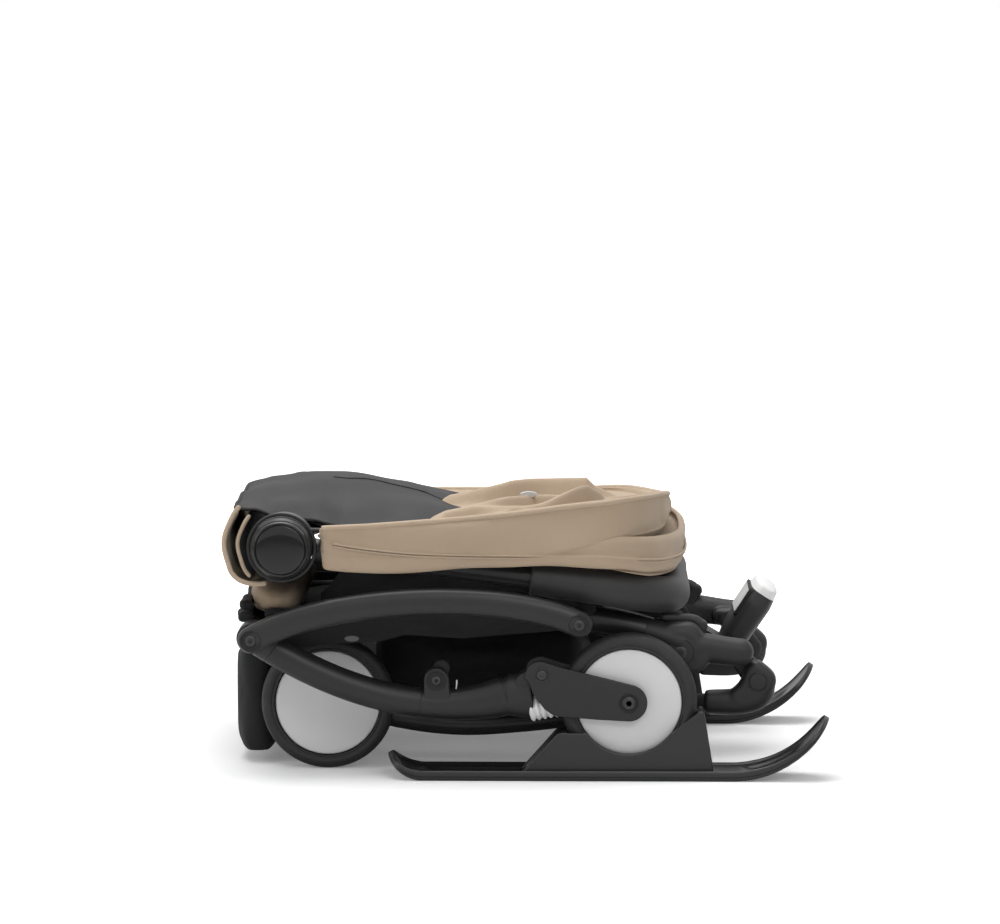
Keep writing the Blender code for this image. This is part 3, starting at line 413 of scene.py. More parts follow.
class Finish(Enum):
    """Every finish on the stroller, ready to be turned into a material."""

    TUBE = PowderCoat()
    RAIL = PowderCoat(level=0.016, roughness=0.33)
    MOULDING = Moulding()
    MATT = Moulding(level=0.008, roughness=0.6)
    SKI = SkiPlastic()
    CAP = Gloss()
    FOAM = Foam()
    TYRE = Rubber()
    DISC = Pale()
    BUFFER = Pale(level=0.72, roughness=0.5)
    LABEL = Pale(level=0.50, roughness=0.35)
    BOLT = Steel(level=0.055, roughness=0.34)
    BRIGHT = Steel(level=0.50, roughness=0.22)
    BEIGE = Cloth()
    PIPING = Cloth(colour=(0.43, 0.33, 0.235), thread=0.0007)
    BADGE = Pale(level=0.10, roughness=0.5)
    BLACK = Cloth(colour=(0.014, 0.014, 0.015), shade=0.6, roughness=0.72, sheen=0.02, gleam=0.25)
    PANEL = Cloth(colour=(0.022, 0.022, 0.023), shade=0.75, roughness=0.66, sheen=0.02, gleam=0.25)
    PAD = Cloth(colour=(0.016, 0.016, 0.017), shade=0.6, roughness=0.72, woven=False, sheen=0.02, gleam=0.25)
    BEIGE_PAD = Cloth(woven=False)


# Curves and surfaces


def bezier(points: Sequence[Point], t: Array) -> Array:
    """Cubic curve: (1-t)^3 a + 3 t (1-t)^2 b + 3 t^2 (1-t) c + t^3 d."""
    a, b, c, d = (np.asarray(p, dtype=float) for p in points)
    t = np.asarray(t, dtype=float)[:, None]
    return (1 - t) ** 3 * a + 3 * t * (1 - t) ** 2 * b + 3 * t ** 2 * (1 - t) * c + t ** 3 * d


def through(points: Sequence[Sequence[float]], count: int, closed: bool = False) -> Array:
    """Smooth curve through points, at equal steps along it.

    On each stretch it is a cubic whose end slopes are half the chord between the
    neighbours of that end; the result is then read off at equal arc lengths.

    Args:
        points: places the curve goes through.
        count: number of points wanted.
        closed: whether the last point joins the first.

    Returns:
        The points, one a row.
    """
    p = np.asarray(points, dtype=float)
    if closed:
        before, start, end, after = np.roll(p, 1, 0), p, np.roll(p, -1, 0), np.roll(p, -2, 0)
    else:
        ends = np.vstack([2 * p[0] - p[1], p, 2 * p[-1] - p[-2]])
        before, start, end, after = ends[:-3], ends[1:-2], ends[2:-1], ends[3:]
    t = np.linspace(0, 1, 24, endpoint=False)[None, :, None]
    m0, m1 = ((end - before) / 2)[:, None], ((after - start) / 2)[:, None]
    fine = ((2 * t ** 3 - 3 * t ** 2 + 1) * start[:, None] + (t ** 3 - 2 * t ** 2 + t) * m0
            + (3 * t ** 2 - 2 * t ** 3) * end[:, None] + (t ** 3 - t ** 2) * m1).reshape(-1, p.shape[1])
    fine = np.vstack([fine, p[:1] if closed else p[-1:]])
    steps = np.linalg.norm(np.diff(fine, axis=0), axis=1)
    reach = np.concatenate([[0.0], np.cumsum(steps)])
    wanted = np.linspace(0, reach[-1], count + 1 if closed else count)[:count]
    return np.stack([np.interp(wanted, reach, fine[:, k]) for k in range(p.shape[1])], axis=1)


def ring(radius: float, count: int = 32, power: float = 2.0, height: float | None = None) -> Array:
    """Closed profile: (r cos a, h sin a) with both drawn out to a superellipse of the given power."""
    a = np.arange(count) * 2 * np.pi / count
    c, s = np.cos(a), np.sin(a)
    shape = np.stack([np.sign(c) * np.abs(c) ** (2 / power), np.sign(s) * np.abs(s) ** (2 / power)], axis=1)
    return shape * (radius, radius if height is None else height)


def arc(centre: Point, radius: float, start: float, end: float, count: int) -> Array:
    """Points centre + r (cos a, sin a), a from start to end in degrees."""
    a = np.radians(np.linspace(start, end, count))
    return np.stack([np.cos(a), np.sin(a)], axis=1) * radius + centre


def flat(points: Array, y: float) -> Array:
    """Put (x, z) points in a plane of constant y."""
    return np.stack([points[:, 0], np.full(len(points), y), points[:, 1]], axis=1)


def carried(path: Array, profile: Array, side: Sequence[float] = (0, 1, 0), start: float = 0.0,
            end: float = 0.0) -> Array:
    """Profile carried along a path: path + a across + b up, in the frame of the path's direction.

    Args:
        path: points of the middle line.
        profile: (m, 2) points, or (n, m, 2) where it changes along the path.
        side: direction that the profile's first number follows.
        start: radius of a round start, whose rings shrink as sqrt(1 - s^2).
        end: radius of a round end.

    Returns:
        Rings of points, shape (rings, m, 3).
    """
    path = np.asarray(path, dtype=float)
    if profile.ndim == 2:
        profile = np.broadcast_to(profile, (len(path),) + profile.shape)
    along = np.gradient(path, axis=0)
    along /= np.linalg.norm(along, axis=1)[:, None]
    side_vector = np.asarray(side, dtype=float)
    across = side_vector - along * (along @ side_vector)[:, None]
    across /= np.linalg.norm(across, axis=1)[:, None]
    up = np.cross(along, across)
    rings = path[:, None] + profile[..., :1] * across[:, None] + profile[..., 1:] * up[:, None]
    shares = np.sin(np.linspace(0, np.pi / 2, 9))[1:-1]
    for at, sign, radius in ((0, -1, start), (-1, 1, end)):
        if radius:
            shrink = np.sqrt(1 - shares ** 2)[:, None, None]
            shape = profile[at] * np.concatenate([shrink ** 0.6, shrink], axis=2)
            cap = (path[at] + along[at] * sign * radius * shares[:, None])[:, None]
            cap = cap + shape[..., :1] * across[at] + shape[..., 1:] * up[at]
            rings = np.concatenate([cap[::-1], rings] if sign < 0 else [rings, cap])
    return rings


def turned(centre: Point, profile: Sequence[Point], count: int = 72, shape: Callable[[Array], Array] | None = None,
           shaped: int = 0) -> Array:
    """Profile of (radius, y) turned about an axis along Y through centre.

    Args:
        centre: (x, z) of the axis.
        profile: radius and y of each ring.
        count: points on a ring.
        shape: factor of the radius by angle, such as a hexagon's.
        shaped: how many of the last rings it changes.

    Returns:
        Rings of points.
    """
    angle = np.arange(count) * 2 * np.pi / count
    radius = np.array([r for r, _ in profile])[:, None] * np.ones(count)
    if shape is not None:
        radius[-shaped:] = radius[-shaped:] * shape(angle)
    y = np.array([v for _, v in profile])[:, None] * np.ones(count)
    return np.stack([centre[0] + radius * np.cos(angle), y, centre[1] + radius * np.sin(angle)], axis=2)


def hexagon(angle: Array) -> Array:
    """Radius of a hexagon across its flats, 1 / cos of the angle from the nearest flat."""
    return 1 / np.cos(np.mod(angle, np.pi / 3) - np.pi / 6)


def rounded(profile: Sequence[Point], radius: float, steps: int = 4) -> list[Point]:
    """Replace each inner corner of an open profile by a short curve that leaves it radius before and after."""
    p = np.asarray(profile, dtype=float)
    found = [p[0]]
    for before, corner, after in zip(p[:-2], p[1:-1], p[2:]):
        reach_in, reach_out = np.linalg.norm(before - corner), np.linalg.norm(after - corner)
        a = corner + (before - corner) * min(radius / max(reach_in, 1e-9), 0.45)
        b = corner + (after - corner) * min(radius / max(reach_out, 1e-9), 0.45)
        t = np.linspace(0, 1, steps)[:, None]
        found.extend((1 - t) ** 2 * a + 2 * t * (1 - t) * corner + t ** 2 * b)
    found.append(p[-1])
    return [tuple(q) for q in found]


def plate(outline: Array, low: float, high: float, edge: float, steps: int = 5) -> Array:
    """Flat plate with rounded rims: rings of the outline, pulled in by edge (1 - sin a) as y rises edge (1 - cos a).

    Args:
        outline: closed (x, z) points.
        low: y of one face.
        high: y of the other.
        edge: radius of the rims.
        steps: rings in each rim.

    Returns:
        Rings from the first face to the second.
    """
    along = np.roll(outline, -1, 0) - np.roll(outline, 1, 0)
    normal = np.stack([along[:, 1], -along[:, 0]], axis=1)
    normal /= np.linalg.norm(normal, axis=1)[:, None] + 1e-12
    area = np.sum(outline[:, 0] * np.roll(outline[:, 1], -1) - np.roll(outline[:, 0], -1) * outline[:, 1])
    normal *= 1.0 if area > 0 else -1.0
    a = np.linspace(0, np.pi / 2, steps)
    inset, rise = edge * (1 - np.sin(a)), edge * (1 - np.cos(a))
    inset = np.concatenate([inset, inset[::-1]])
    level = np.concatenate([low + rise, (high - rise)[::-1]])
    rings = outline[None] - normal[None] * inset[:, None, None]
    return np.stack([rings[..., 0], np.broadcast_to(level[:, None], rings.shape[:2]), rings[..., 1]], axis=2)


def capsule(first: Point, second: Point, radius: float, second_radius: float | None = None,
            count: int = 40) -> Array:
    """Closed outline round two circles, at even steps."""
    big = radius if second_radius is None else second_radius
    heading = math.degrees(math.atan2(second[1] - first[1], second[0] - first[0]))
    lean = math.degrees(math.asin((radius - big) / math.dist(first, second)))
    outline = np.vstack([arc(first, radius, heading + 90 - lean, heading + 270 + lean, 18),
                         arc(second, big, heading - 90 + lean, heading + 90 - lean, 18)])
    return even(outline, count)


def even(outline: Array, count: int) -> Array:
    """Closed outline read off at even steps of its own straight-sided length."""
    shut = np.vstack([outline, outline[:1]])
    reach = np.concatenate([[0.0], np.cumsum(np.linalg.norm(np.diff(shut, axis=0), axis=1))])
    wanted = np.linspace(0, reach[-1], count, endpoint=False)
    return np.stack([np.interp(wanted, reach, shut[:, k]) for k in range(shut.shape[1])], axis=1)


def ripple(x: Array, y: Array, waves: Sequence[tuple[float, float, float, float]]) -> Array:
    """Sum of waves a sin(kx x + ky y + phase), each given as (a, kx, ky, phase)."""
    total = np.zeros(np.broadcast(x, y).shape)
    for a, kx, ky, phase in waves:
        total = total + a * np.sin(kx * x + ky * y + phase)
    return total


@dataclass
class Patch:
    """A grid of rings and how it closes."""

    rings: Array
    caps: bool = True
    loop: bool = False
    open_ring: bool = False
    polygon: bool = False

    def mesh_arrays(self, first: int) -> tuple[Array, list[list[int]], Array]:
        """Vertices, faces and cloth coordinates of the grid.

        Cloth coordinates are the mean distance run along the rings and around them.

        Args:
            first: number of the grid's first vertex in its mesh.

        Returns:
            Vertices, faces, and one coordinate for each corner of each face.
        """
        n, m = self.rings.shape[:2]
        count = m if self.open_ring else m + 1
        columns = np.arange(count) % m
        rows = np.arange(n + 1 if self.loop else n) % n
        index = rows[:, None] * m + columns[None, :]
        grid = self.rings[rows][:, columns]
        u = np.concatenate([[0.0], np.cumsum(np.linalg.norm(np.diff(grid, axis=0), axis=2).mean(axis=1))])
        v = np.concatenate([[0.0], np.cumsum(np.linalg.norm(np.diff(grid, axis=1), axis=2).mean(axis=0))])
        quads = np.stack([index[:-1, :-1], index[:-1, 1:], index[1:, 1:], index[1:, :-1]], axis=2).reshape(-1, 4)
        uv = np.stack(np.meshgrid(u, v, indexing="ij"), axis=2)
        corners = np.stack([uv[:-1, :-1], uv[:-1, 1:], uv[1:, 1:], uv[1:, :-1]], axis=2).reshape(-1, 2)
        vertices = self.rings.reshape(-1, 3)
        faces = (quads + first).tolist()
        if self.polygon:
            for row in (0, n - 1):
                faces.append((index[row, :-1] + first).tolist())
                corners = np.vstack([corners, self.rings[row][:, [0, 2]]])
        elif self.caps and not self.loop:
            ends = self.rings[[0, -1]]
            vertices = np.vstack([vertices, ends.mean(axis=1)])
            for which, row in ((0, 0), (1, n - 1)):
                near = index[row, :-1] + first
                far = index[row, 1:] + first
                middle = np.full(len(near), first + n * m + which)
                faces += np.stack([middle, near, far], axis=1).tolist()
                rim, hub = ends[which], ends[which].mean(axis=0)
                radial = np.linalg.norm(rim - hub, axis=1).mean()
                span = np.stack([np.zeros(len(near)), v[:-1]], axis=1)
                fan = np.stack([span + (radial, 0), span, np.stack([np.zeros(len(near)), v[1:]], axis=1)], axis=1)
                corners = np.vstack([corners, fan.reshape(-1, 2)])
        return vertices, faces, corners


@dataclass
class Workshop:
    """Turns patches into pieces, and dresses them and the CAD nodes that stay."""

    nodes: dict[str, bpy.types.Object]
    materials: dict[Finish, bpy.types.Material] = field(default_factory=dict)

    def paint(self, finish: Finish) -> bpy.types.Material:
        """Material of a finish, made once."""
        if finish not in self.materials:
            self.materials[finish] = finish.value.material(finish.name.lower())
        return self.materials[finish]

    def build(self, name: str, patches: Sequence[Patch | Array], finish: Finish, sharp: float = 40.0,
              shut: bool = True) -> bpy.types.Object:
        """Make one mesh object from patches.

        Args:
            name: the piece's name.
            patches: grids, or bare rings with capped ends.
            finish: what it is made of.
            sharp: angle in degrees past which an edge stays sharp.
            shut: whether the patches are closed, so that faces can be turned outwards.

        Returns:
            The object, at the origin.
        """
        vertices, faces, corners, first = [], [], [], 0
        for patch in patches:
            patch = patch if isinstance(patch, Patch) else Patch(patch)
            points, quads, uv = patch.mesh_arrays(first)
            vertices.append(points)
            faces += quads
            corners.append(uv)
            first += len(points)
        data = bpy.data.meshes.new(name)
        data.from_pydata(np.vstack(vertices).tolist(), [], faces)
        layer = data.uv_layers.new(name="cloth")
        layer.data.foreach_set("uv", np.vstack(corners).astype(np.float32).ravel())
        if shut:
            bm = bmesh.new()
            bm.from_mesh(data)
            bmesh.ops.recalc_face_normals(bm, faces=bm.faces)
            bm.to_mesh(data)
            bm.free()
        data.shade_smooth()
        data.set_sharp_from_angle(angle=math.radians(sharp))
        data.materials.append(self.paint(finish))
        piece = bpy.data.objects.new(name, data)
        bpy.context.scene.collection.objects.link(piece)
        return piece

    def fit(self, piece: bpy.types.Object, body: str, slot: Slot, stands_for: Sequence[str] = ()) -> bpy.types.Object:
        """Hand a piece to its body, and hide the nodes that it stands for."""
        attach(piece, body)
        if stands_for:
            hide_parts(*stands_for)
        LOG.info("%s rides on %s", piece.name, body)
        return piece

    def make(self, name: str, patches: Sequence[Patch | Array], finish: Finish, body: str, slot: Slot,
             stands_for: Sequence[str] = (), sharp: float = 40.0) -> bpy.types.Object:
        """Build a piece and fit it."""
        return self.fit(self.build(name, patches, finish, sharp), body, slot, stands_for)

    def dress(self, names: Sequence[str], finish: Finish) -> None:
        """Give CAD nodes that stay their finish."""
        for name in names:
            node = self.nodes[name]
            if not node.material_slots:
                node.data.materials.append(self.paint(finish))
            for held in node.material_slots:
                held.material = self.paint(finish)
            LOG.info("%s is dressed as %s", name, finish.name)

    def bolt(self, name: str, centre: Point, y: float, side: Side, radius: float, body: str,
             finish: Finish = Finish.BOLT, proud: float = 0.0016) -> bpy.types.Object:
        """Button-head bolt with a hexagon socket, facing outwards.

        The head is a profile turned about Y: rim, quarter-round shoulder, flat, and a
        hexagonal pocket whose ring radius is 1 / cos of the angle from a flat.

        Args:
            name: the piece's name.
            centre: (x, z) of its axis.
            y: the face that it sits on, as a distance from the middle plane.
            side: which side it faces.
            radius: of the head.
            body: what it rides on.
            finish: dark or bright steel.
            proud: height of the head.

        Returns:
            The bolt.
        """
        s = side.value
        socket = radius * 0.40
        a = np.linspace(0, np.pi / 2, 7)
        shoulder = [(radius * (0.72 + 0.28 * c), proud * (0.25 + 0.75 * d)) for c, d in zip(np.cos(a), np.sin(a))]
        profile = [(radius, -0.001)] + shoulder + [(socket * 1.25, proud)]
        pocket = [(socket, proud), (socket * 0.99, proud - 0.0015), (socket * 0.2, proud - 0.0015)]
        rings = turned(centre, [(r, s * (y + v)) for r, v in profile + pocket], 48, hexagon, len(pocket))
        return self.make(name, [rings], finish, body, Slot.STEEL, sharp=50)


@dataclass
class SideFrame:
    """Arched rail, front leg, caster socket and fold lock of one side."""

    shop: Workshop
    side: Side
    front_pivot: Point = (-0.264, 0.136)
    rail_rear: Point = (0.052, 0.152)
    lock_pivot: Point = (-0.086, 0.0955)
    suspension_pivot: Point = (0.016, 0.102)
    rail_y: float = 0.21225
    rail_width: float = 0.0175
    rail_height: float = 0.0258
    leg_y: float = 0.187
    leg_width: float = 0.0288
    leg_radius: float = 0.0145
    socket_height: float = 0.038
    socket_at: float = 0.903
    split_at: tuple[float, float] = (0.075, 0.60)

    @property
    def body(self) -> str:
        """Body of the front leg."""
        return f"front_leg_{self.side.word}"

    @property
    def leg_curve(self) -> list[Point]:
        """Control points of the front leg."""
        return [self.front_pivot, (-0.180, 0.080), (-0.078, 0.049), (0.006, 0.089)]

    def leg_height(self, t: Array) -> Array:
        """Height of the leg: round, then swelling with power 1.5 towards the socket."""
        swell = np.clip((t - 0.6) / 0.27, 0, 1) ** 1.5
        return 2 * self.leg_radius + (self.socket_height - 2 * self.leg_radius) * swell

    def grooves(self, t: Array, places: Sequence[float], depth: float, width: float) -> Array:
        """Scale of the section: 1 less a narrow bell at each split line."""
        drop = sum(np.exp(-((t - place) / width) ** 2) for place in places)
        return 1 - depth * drop

    def rail(self) -> None:
        """Oval tube along a cubic arch, with round ends over both bolts."""
        start, end = self.front_pivot, self.rail_rear
        path = bezier([start, (start[0] + 0.074, start[1] + 0.044), (end[0] - 0.072, end[1] + 0.034), end],
                      np.linspace(0, 1, 72))
        profile = ring(self.rail_width / 2, 40, 2.25, self.rail_height / 2)
        name = f"side_rail_{self.side.word}"
        y = self.side.value * self.rail_y
        rings = carried(flat(path, y), profile, start=self.rail_height / 2, end=self.rail_height / 2)
        self.shop.make(name + "_tube", [rings], Finish.RAIL, "seat_frame", Slot.TUBE, [name])
        for word, centre in (("front", start), ("rear", end)):
            self.cup(f"rail_{word}_cup_{self.side.word}", centre, "seat_frame", 0.0104)
            self.shop.bolt(f"rail_{word}_bolt_{self.side.word}", centre, self.rail_y + self.rail_width / 2 - 0.0004,
                           self.side, 0.0052, "seat_frame")

    def cup(self, name: str, centre: Point, body: str, radius: float, y: float | None = None) -> None:
        """Turned washer with a raised rim and a dished floor round a bolt."""
        face = self.rail_y + self.rail_width / 2 - 0.0010 if y is None else y
        profile = rounded([(radius * 1.04, -0.002), (radius, 0.0010), (radius * 0.86, 0.0010),
                           (radius * 0.80, 0.0003),
                           (radius * 0.62, 0.0003), (radius * 0.55, 0.0008), (radius * 0.30, 0.0008)], 0.0003)
        rings = turned(centre, [(r, self.side.value * (face + v)) for r, v in profile])
        self.shop.make(name, [rings], Finish.MATT, body, Slot.MOULDING, sharp=60)

    def leg(self) -> None:
        """Tube along a cubic curve, swelling to its socket and on inside it, with two split lines and an eye."""
        splits = self.split_at
        t = np.unique(np.concatenate([np.linspace(0.03, self.socket_at, 80),
                                      self.socket_at + np.array([0.0006, 0.03])]
                                     + [place + np.linspace(-0.006, 0.006, 9) for place in splits]))
        path = bezier(self.leg_curve, t)
        half = self.leg_height(t) / 2
        scale = self.grooves(t, splits, 0.035, 0.0016) * np.where(t > self.socket_at, 0.93, 1.0)
        profile = ring(1.0, 44, 2.2)[None] * np.stack([scale * self.leg_width / 2, scale * half], axis=1)[:, None]
        name = f"front_leg_{self.side.word}"
        s = self.side.value
        tube = carried(flat(path, s * self.leg_y), profile)
        rim = [(0.0089, -0.0150), (0.0138, -0.0150), (0.0150, -0.0138), (0.0150, 0.0138), (0.0138, 0.0150),
               (0.0089, 0.0150)]
        eye = turned(self.front_pivot, [(r, s * self.leg_y + v) for r, v in rounded(rim + rim[:1], 0.0008)])
        self.shop.make(name + "_tube", [tube, Patch(eye, caps=False, loop=True)], Finish.TUBE, self.body,
                       Slot.TUBE, [name])

    def lug(self) -> None:
        """Boss on the leg that carries the lock: a plate round two circles with a bolt."""
        x, z = self.lock_pivot
        s = self.side.value
        outline = capsule(self.lock_pivot, (x + 0.001, z - 0.020), 0.0118, 0.0128, 48)
        low, high = sorted((s * (self.leg_y - 0.005), s * (self.leg_y + 0.0135)))
        boss = plate(outline, low, high, 0.0015)
        self.shop.make(f"lock_lug_{self.side.word}", [boss], Finish.MOULDING, self.body, Slot.MOULDING)
        self.cup(f"lock_cup_{self.side.word}", self.lock_pivot, self.body, 0.0098, self.leg_y + 0.0133)
        self.shop.bolt(f"lock_bolt_{self.side.word}", self.lock_pivot, self.leg_y + 0.0137, self.side, 0.0045,
                       self.body)

    def lock(self) -> None:
        """Latch lever behind the lug, and the bent wire spring beside it."""
        x, z = self.lock_pivot
        s = self.side.value
        outline = capsule(self.lock_pivot, (x + 0.0045, z + 0.009), 0.0088, 0.0080, 44)
        inner = self.leg_y - 0.0065
        low, high = sorted((s * (inner - 0.010), s * inner))
        name = f"fold_lock_{self.side.word}"
        pin = turned(self.lock_pivot, [(0.004, s * (inner - 0.004)), (0.004, s * (self.leg_y + 0.0065))], 24)
        self.shop.make(name + "_lever", [plate(outline, low, high, 0.0016), pin], Finish.MATT,
                       f"lock_{self.side.word}", Slot.MOULDING, [name])
        bend = through([(x + 0.0135, 0, z - 0.014), (x + 0.0178, 0, z - 0.0115), (x + 0.0192, 0, z - 0.0070),
                        (x + 0.0195, 0, z - 0.0010)], 24)
        bend[:, 1] = s * (self.leg_y + 0.004)
        self.shop.make(f"lock_wire_{self.side.word}", [carried(bend, ring(0.0010, 12), start=0.0008, end=0.0008)],
                       Finish.BRIGHT, self.body, Slot.STEEL)

    def socket(self) -> None:
        """Moulded end of the leg: an oval loft that flares downwards, and the ear of the suspension pivot."""
        t = np.linspace(self.socket_at + 0.005, 0.990, 26)
        share = (t - t[0]) / (t[-1] - t[0])
        path = bezier(self.leg_curve, t) + np.stack([0.002 * share, -0.0072 * share], axis=1)
        half = 0.0196 + 0.0034 * share
        profile = ring(1.0, 44, 2.3)[None] * np.stack([np.full(26, self.leg_width / 2), half], axis=1)[:, None]
        s = self.side.value
        body = carried(flat(path, s * self.leg_y), profile, end=0.002)
        x, z = self.suspension_pivot
        low, high = sorted((s * (self.leg_y - 0.0136), s * (self.leg_y + 0.0136)))
        ear = plate(capsule((x - 0.016, z - 0.008), self.suspension_pivot, 0.009, 0.0085, 40), low, high, 0.001)
        name = f"caster_socket_{self.side.word}"
        self.shop.make(name + "_shell", [body, ear], Finish.MOULDING, self.body, Slot.MOULDING, [name])

    def make(self) -> None:
        """Build every piece of the side."""
        for step in (self.rail, self.leg, self.lug, self.lock, self.socket):
            step()


@dataclass
class FrontWheel:
    """Fork, buffer, wheel and ski of one side."""

    shop: Workshop
    side: Side
    axle: Point = (0.100, 0.0747)
    pivot: Point = (0.016, 0.102)
    leg_y: float = 0.187
    fork_half: float = 0.0153
    fork_plate: float = 0.005
    wheel_radius: float = 0.065
    wheel_half: float = 0.013
    ski_half_width: float = 0.030
    ski_thickness: float = 0.0075
    ski_flat: Point = (-0.098, 0.200)
    nose_radius: float = 0.1038
    nose_angle: float = 62.1
    tail_radius: float = 0.0378
    tail_angle: float = 61.7

    @property
    def body(self) -> str:
        """Body of the wheel and its ski."""
        return f"ski_wheel_{self.side.word}"

    def span(self, low: float, high: float) -> Point:
        """Values of y for distances from the middle plane, smaller first."""
        return tuple(sorted((self.side.value * low, self.side.value * high)))

    def fork(self) -> None:
        """Two plates round the axle and the pivot, joined by a web that follows the tyre."""
        outline = even(np.vstack([arc(self.axle, 0.0178, -88, 72, 24),
                                  [(0.0820, 0.0975), (0.0576, 0.1034), (0.0336, 0.1095)],
                                  arc((0.0140, 0.1010), 0.0142, 66, 150, 12),
                                  [(-0.0010, 0.1000), (0.0036, 0.0940), (0.0074, 0.0835)],
                                  through([(0.0140, 0.0745), (0.0199, 0.0677), (0.0295, 0.0622), (0.0400, 0.0606),
                                           (0.0461, 0.0602)], 16),
                                  [(0.0720, 0.0584)]]), 150)
        near, far = self.leg_y + self.fork_half, self.leg_y - self.fork_half
        reach = self.wheel_radius + 0.0018
        web = np.vstack([arc(self.axle, reach, 158, 188, 16), arc(self.axle, reach + 0.0032, 188, 158, 16)])
        parts = [Patch(plate(outline, *self.span(near, near + self.fork_plate), 0.0013), polygon=True),
                 Patch(plate(outline, *self.span(far - self.fork_plate, far), 0.0013), polygon=True),
                 Patch(plate(web, *self.span(far - 0.0025, near + 0.0025), 0.0004), polygon=True)]
        name = f"suspension_arm_{self.side.word}"
        body = f"suspension_{self.side.word}"
        self.shop.make(name + "_fork", parts, Finish.MOULDING, body, Slot.MOULDING, [name])
        face = near + self.fork_plate
        self.shop.bolt(f"pivot_bolt_{self.side.word}", self.pivot, face, self.side, 0.0050, body)
        collar = rounded([(0.0072, -0.001), (0.0070, 0.0008), (0.0062, 0.0008), (0.0058, -0.001)], 0.0003)
        shine = turned(self.pivot, [(r, self.side.value * (face + v)) for r, v in collar])
        self.shop.make(f"pivot_ring_{self.side.word}", [Patch(shine, caps=False, loop=True)], Finish.BOLT, body,
                       Slot.STEEL)
        rim = rounded([(0.0098, -0.001), (0.0096, 0.0007), (0.0088, 0.0007), (0.0082, 0.0001), (0.0040, 0.0001)],
                      0.0003)
        cup = turned(self.axle, [(r, self.side.value * (face + v)) for r, v in rim])
        self.shop.make(f"axle_cup_{self.side.word}", [cup], Finish.MATT, body, Slot.MOULDING, sharp=60)
        self.shop.bolt(f"axle_bolt_{self.side.word}", self.axle, face, self.side, 0.0064, body)

    def buffer(self) -> None:
        """Ribbed buffer: a tube along a cubic whose radius is a rounded comb along it."""
        t = np.linspace(0, 1, 90)
        path = bezier([(0.0030, 0.0668), (0.0120, 0.0690), (0.0220, 0.0706), (0.0320, 0.0720)], t)
        comb = 0.5 - 0.5 * np.cos(t * 5 * 2 * np.pi)
        radius = 0.0108 + 0.0026 * comb ** 0.5
        profile = ring(1.0, 36)[None] * radius[:, None, None]
        name = f"suspension_spring_{self.side.word}"
        self.shop.make(name + "_ribs", [carried(flat(path, self.side.value * self.leg_y), profile)], Finish.BUFFER,
                       f"front_leg_{self.side.word}", Slot.BUFFER, [name])

    def wheel(self) -> None:
        """Tyre and pale disc."""
        make_wheel(self.shop, "front", self.side, self.axle, self.leg_y, self.body)

    def blade_path(self) -> tuple[Array, Array, Array]:
        """Middle line of the blade: tail arc, flat, nose arc; with its share of width and of thickness."""
        half = self.ski_thickness / 2
        tail = arc((self.ski_flat[0], self.tail_radius + half), self.tail_radius, -90 - self.tail_angle, -90, 26)
        middle = np.stack([np.linspace(*self.ski_flat, 40)[1:-1], np.full(38, half)], axis=1)
        nose = arc((self.ski_flat[1], self.nose_radius + half), self.nose_radius, -90, -90 + self.nose_angle, 40)
        path = np.vstack([tail, middle, nose])
        reach = np.concatenate([[0], np.cumsum(np.linalg.norm(np.diff(path, axis=0), axis=1))])
        back = reach[-1] - reach
        tip = [np.sqrt(1 - np.clip(1 - d / size, 0, 1) ** 2) for d, size in ((reach, 0.022), (back, 0.030))]
        width = np.maximum(np.minimum(*tip), 0.16)
        thick = 0.5 + 0.5 * np.minimum(np.clip(reach / 0.03, 0, 1), np.clip(back / 0.09, 0, 1))
        return path, width, thick

    def ski(self) -> None:
        """Channelled blade along its path, and a saddle whose walls follow the wheel."""
        path, width, thick = self.blade_path()
        x = path[:, 0]
        half = self.ski_thickness / 2
        lip = np.array([(-0.90, -1), (-0.45, -1.0), (0.45, -1.0), (0.90, -1), (0.98, -0.85), (1.0, -0.35),
                        (1.0, -0.05),
                        (0.985, 0.05), (1.0, 0.15), (1.0, 1.25), (0.975, 1.62), (0.93, 1.70), (0.88, 1.55),
                        (0.855, 1.15),
                        (0.80, 0.95), (0.62, 0.90), (0.56, 0.60), (0.52, 0.10), (0.45, -0.05), (0.0, -0.05)])
        shape = np.vstack([lip, (lip * (-1, 1))[::-1][1:-4]])
        flat_top = shape.copy()
        flat_top[:, 1] = np.where(np.abs(shape[:, 0]) < 0.7, np.where(shape[:, 1] > -0.5, 0.90, shape[:, 1]),
                                  shape[:, 1])
        recess = np.maximum(np.clip((x + 0.098) / 0.010, 0, 1) * np.clip((0.012 - x) / 0.006, 0, 1),
                            np.clip((x - 0.208) / 0.012, 0, 1) * np.clip((0.272 - x) / 0.012, 0, 1))
        profile = flat_top[None] * (1 - recess)[:, None, None] + shape[None] * recess[:, None, None]
        profile = profile * np.stack([width * self.ski_half_width, thick * half], axis=1)[:, None]
        s = self.side.value
        blade = carried(flat(path, s * self.leg_y), profile)
        name = f"ski_{self.side.word}"
        self.shop.make(name + "_blade", [blade, *self.saddle()], Finish.SKI, self.body, Slot.SKI, [name], sharp=50)

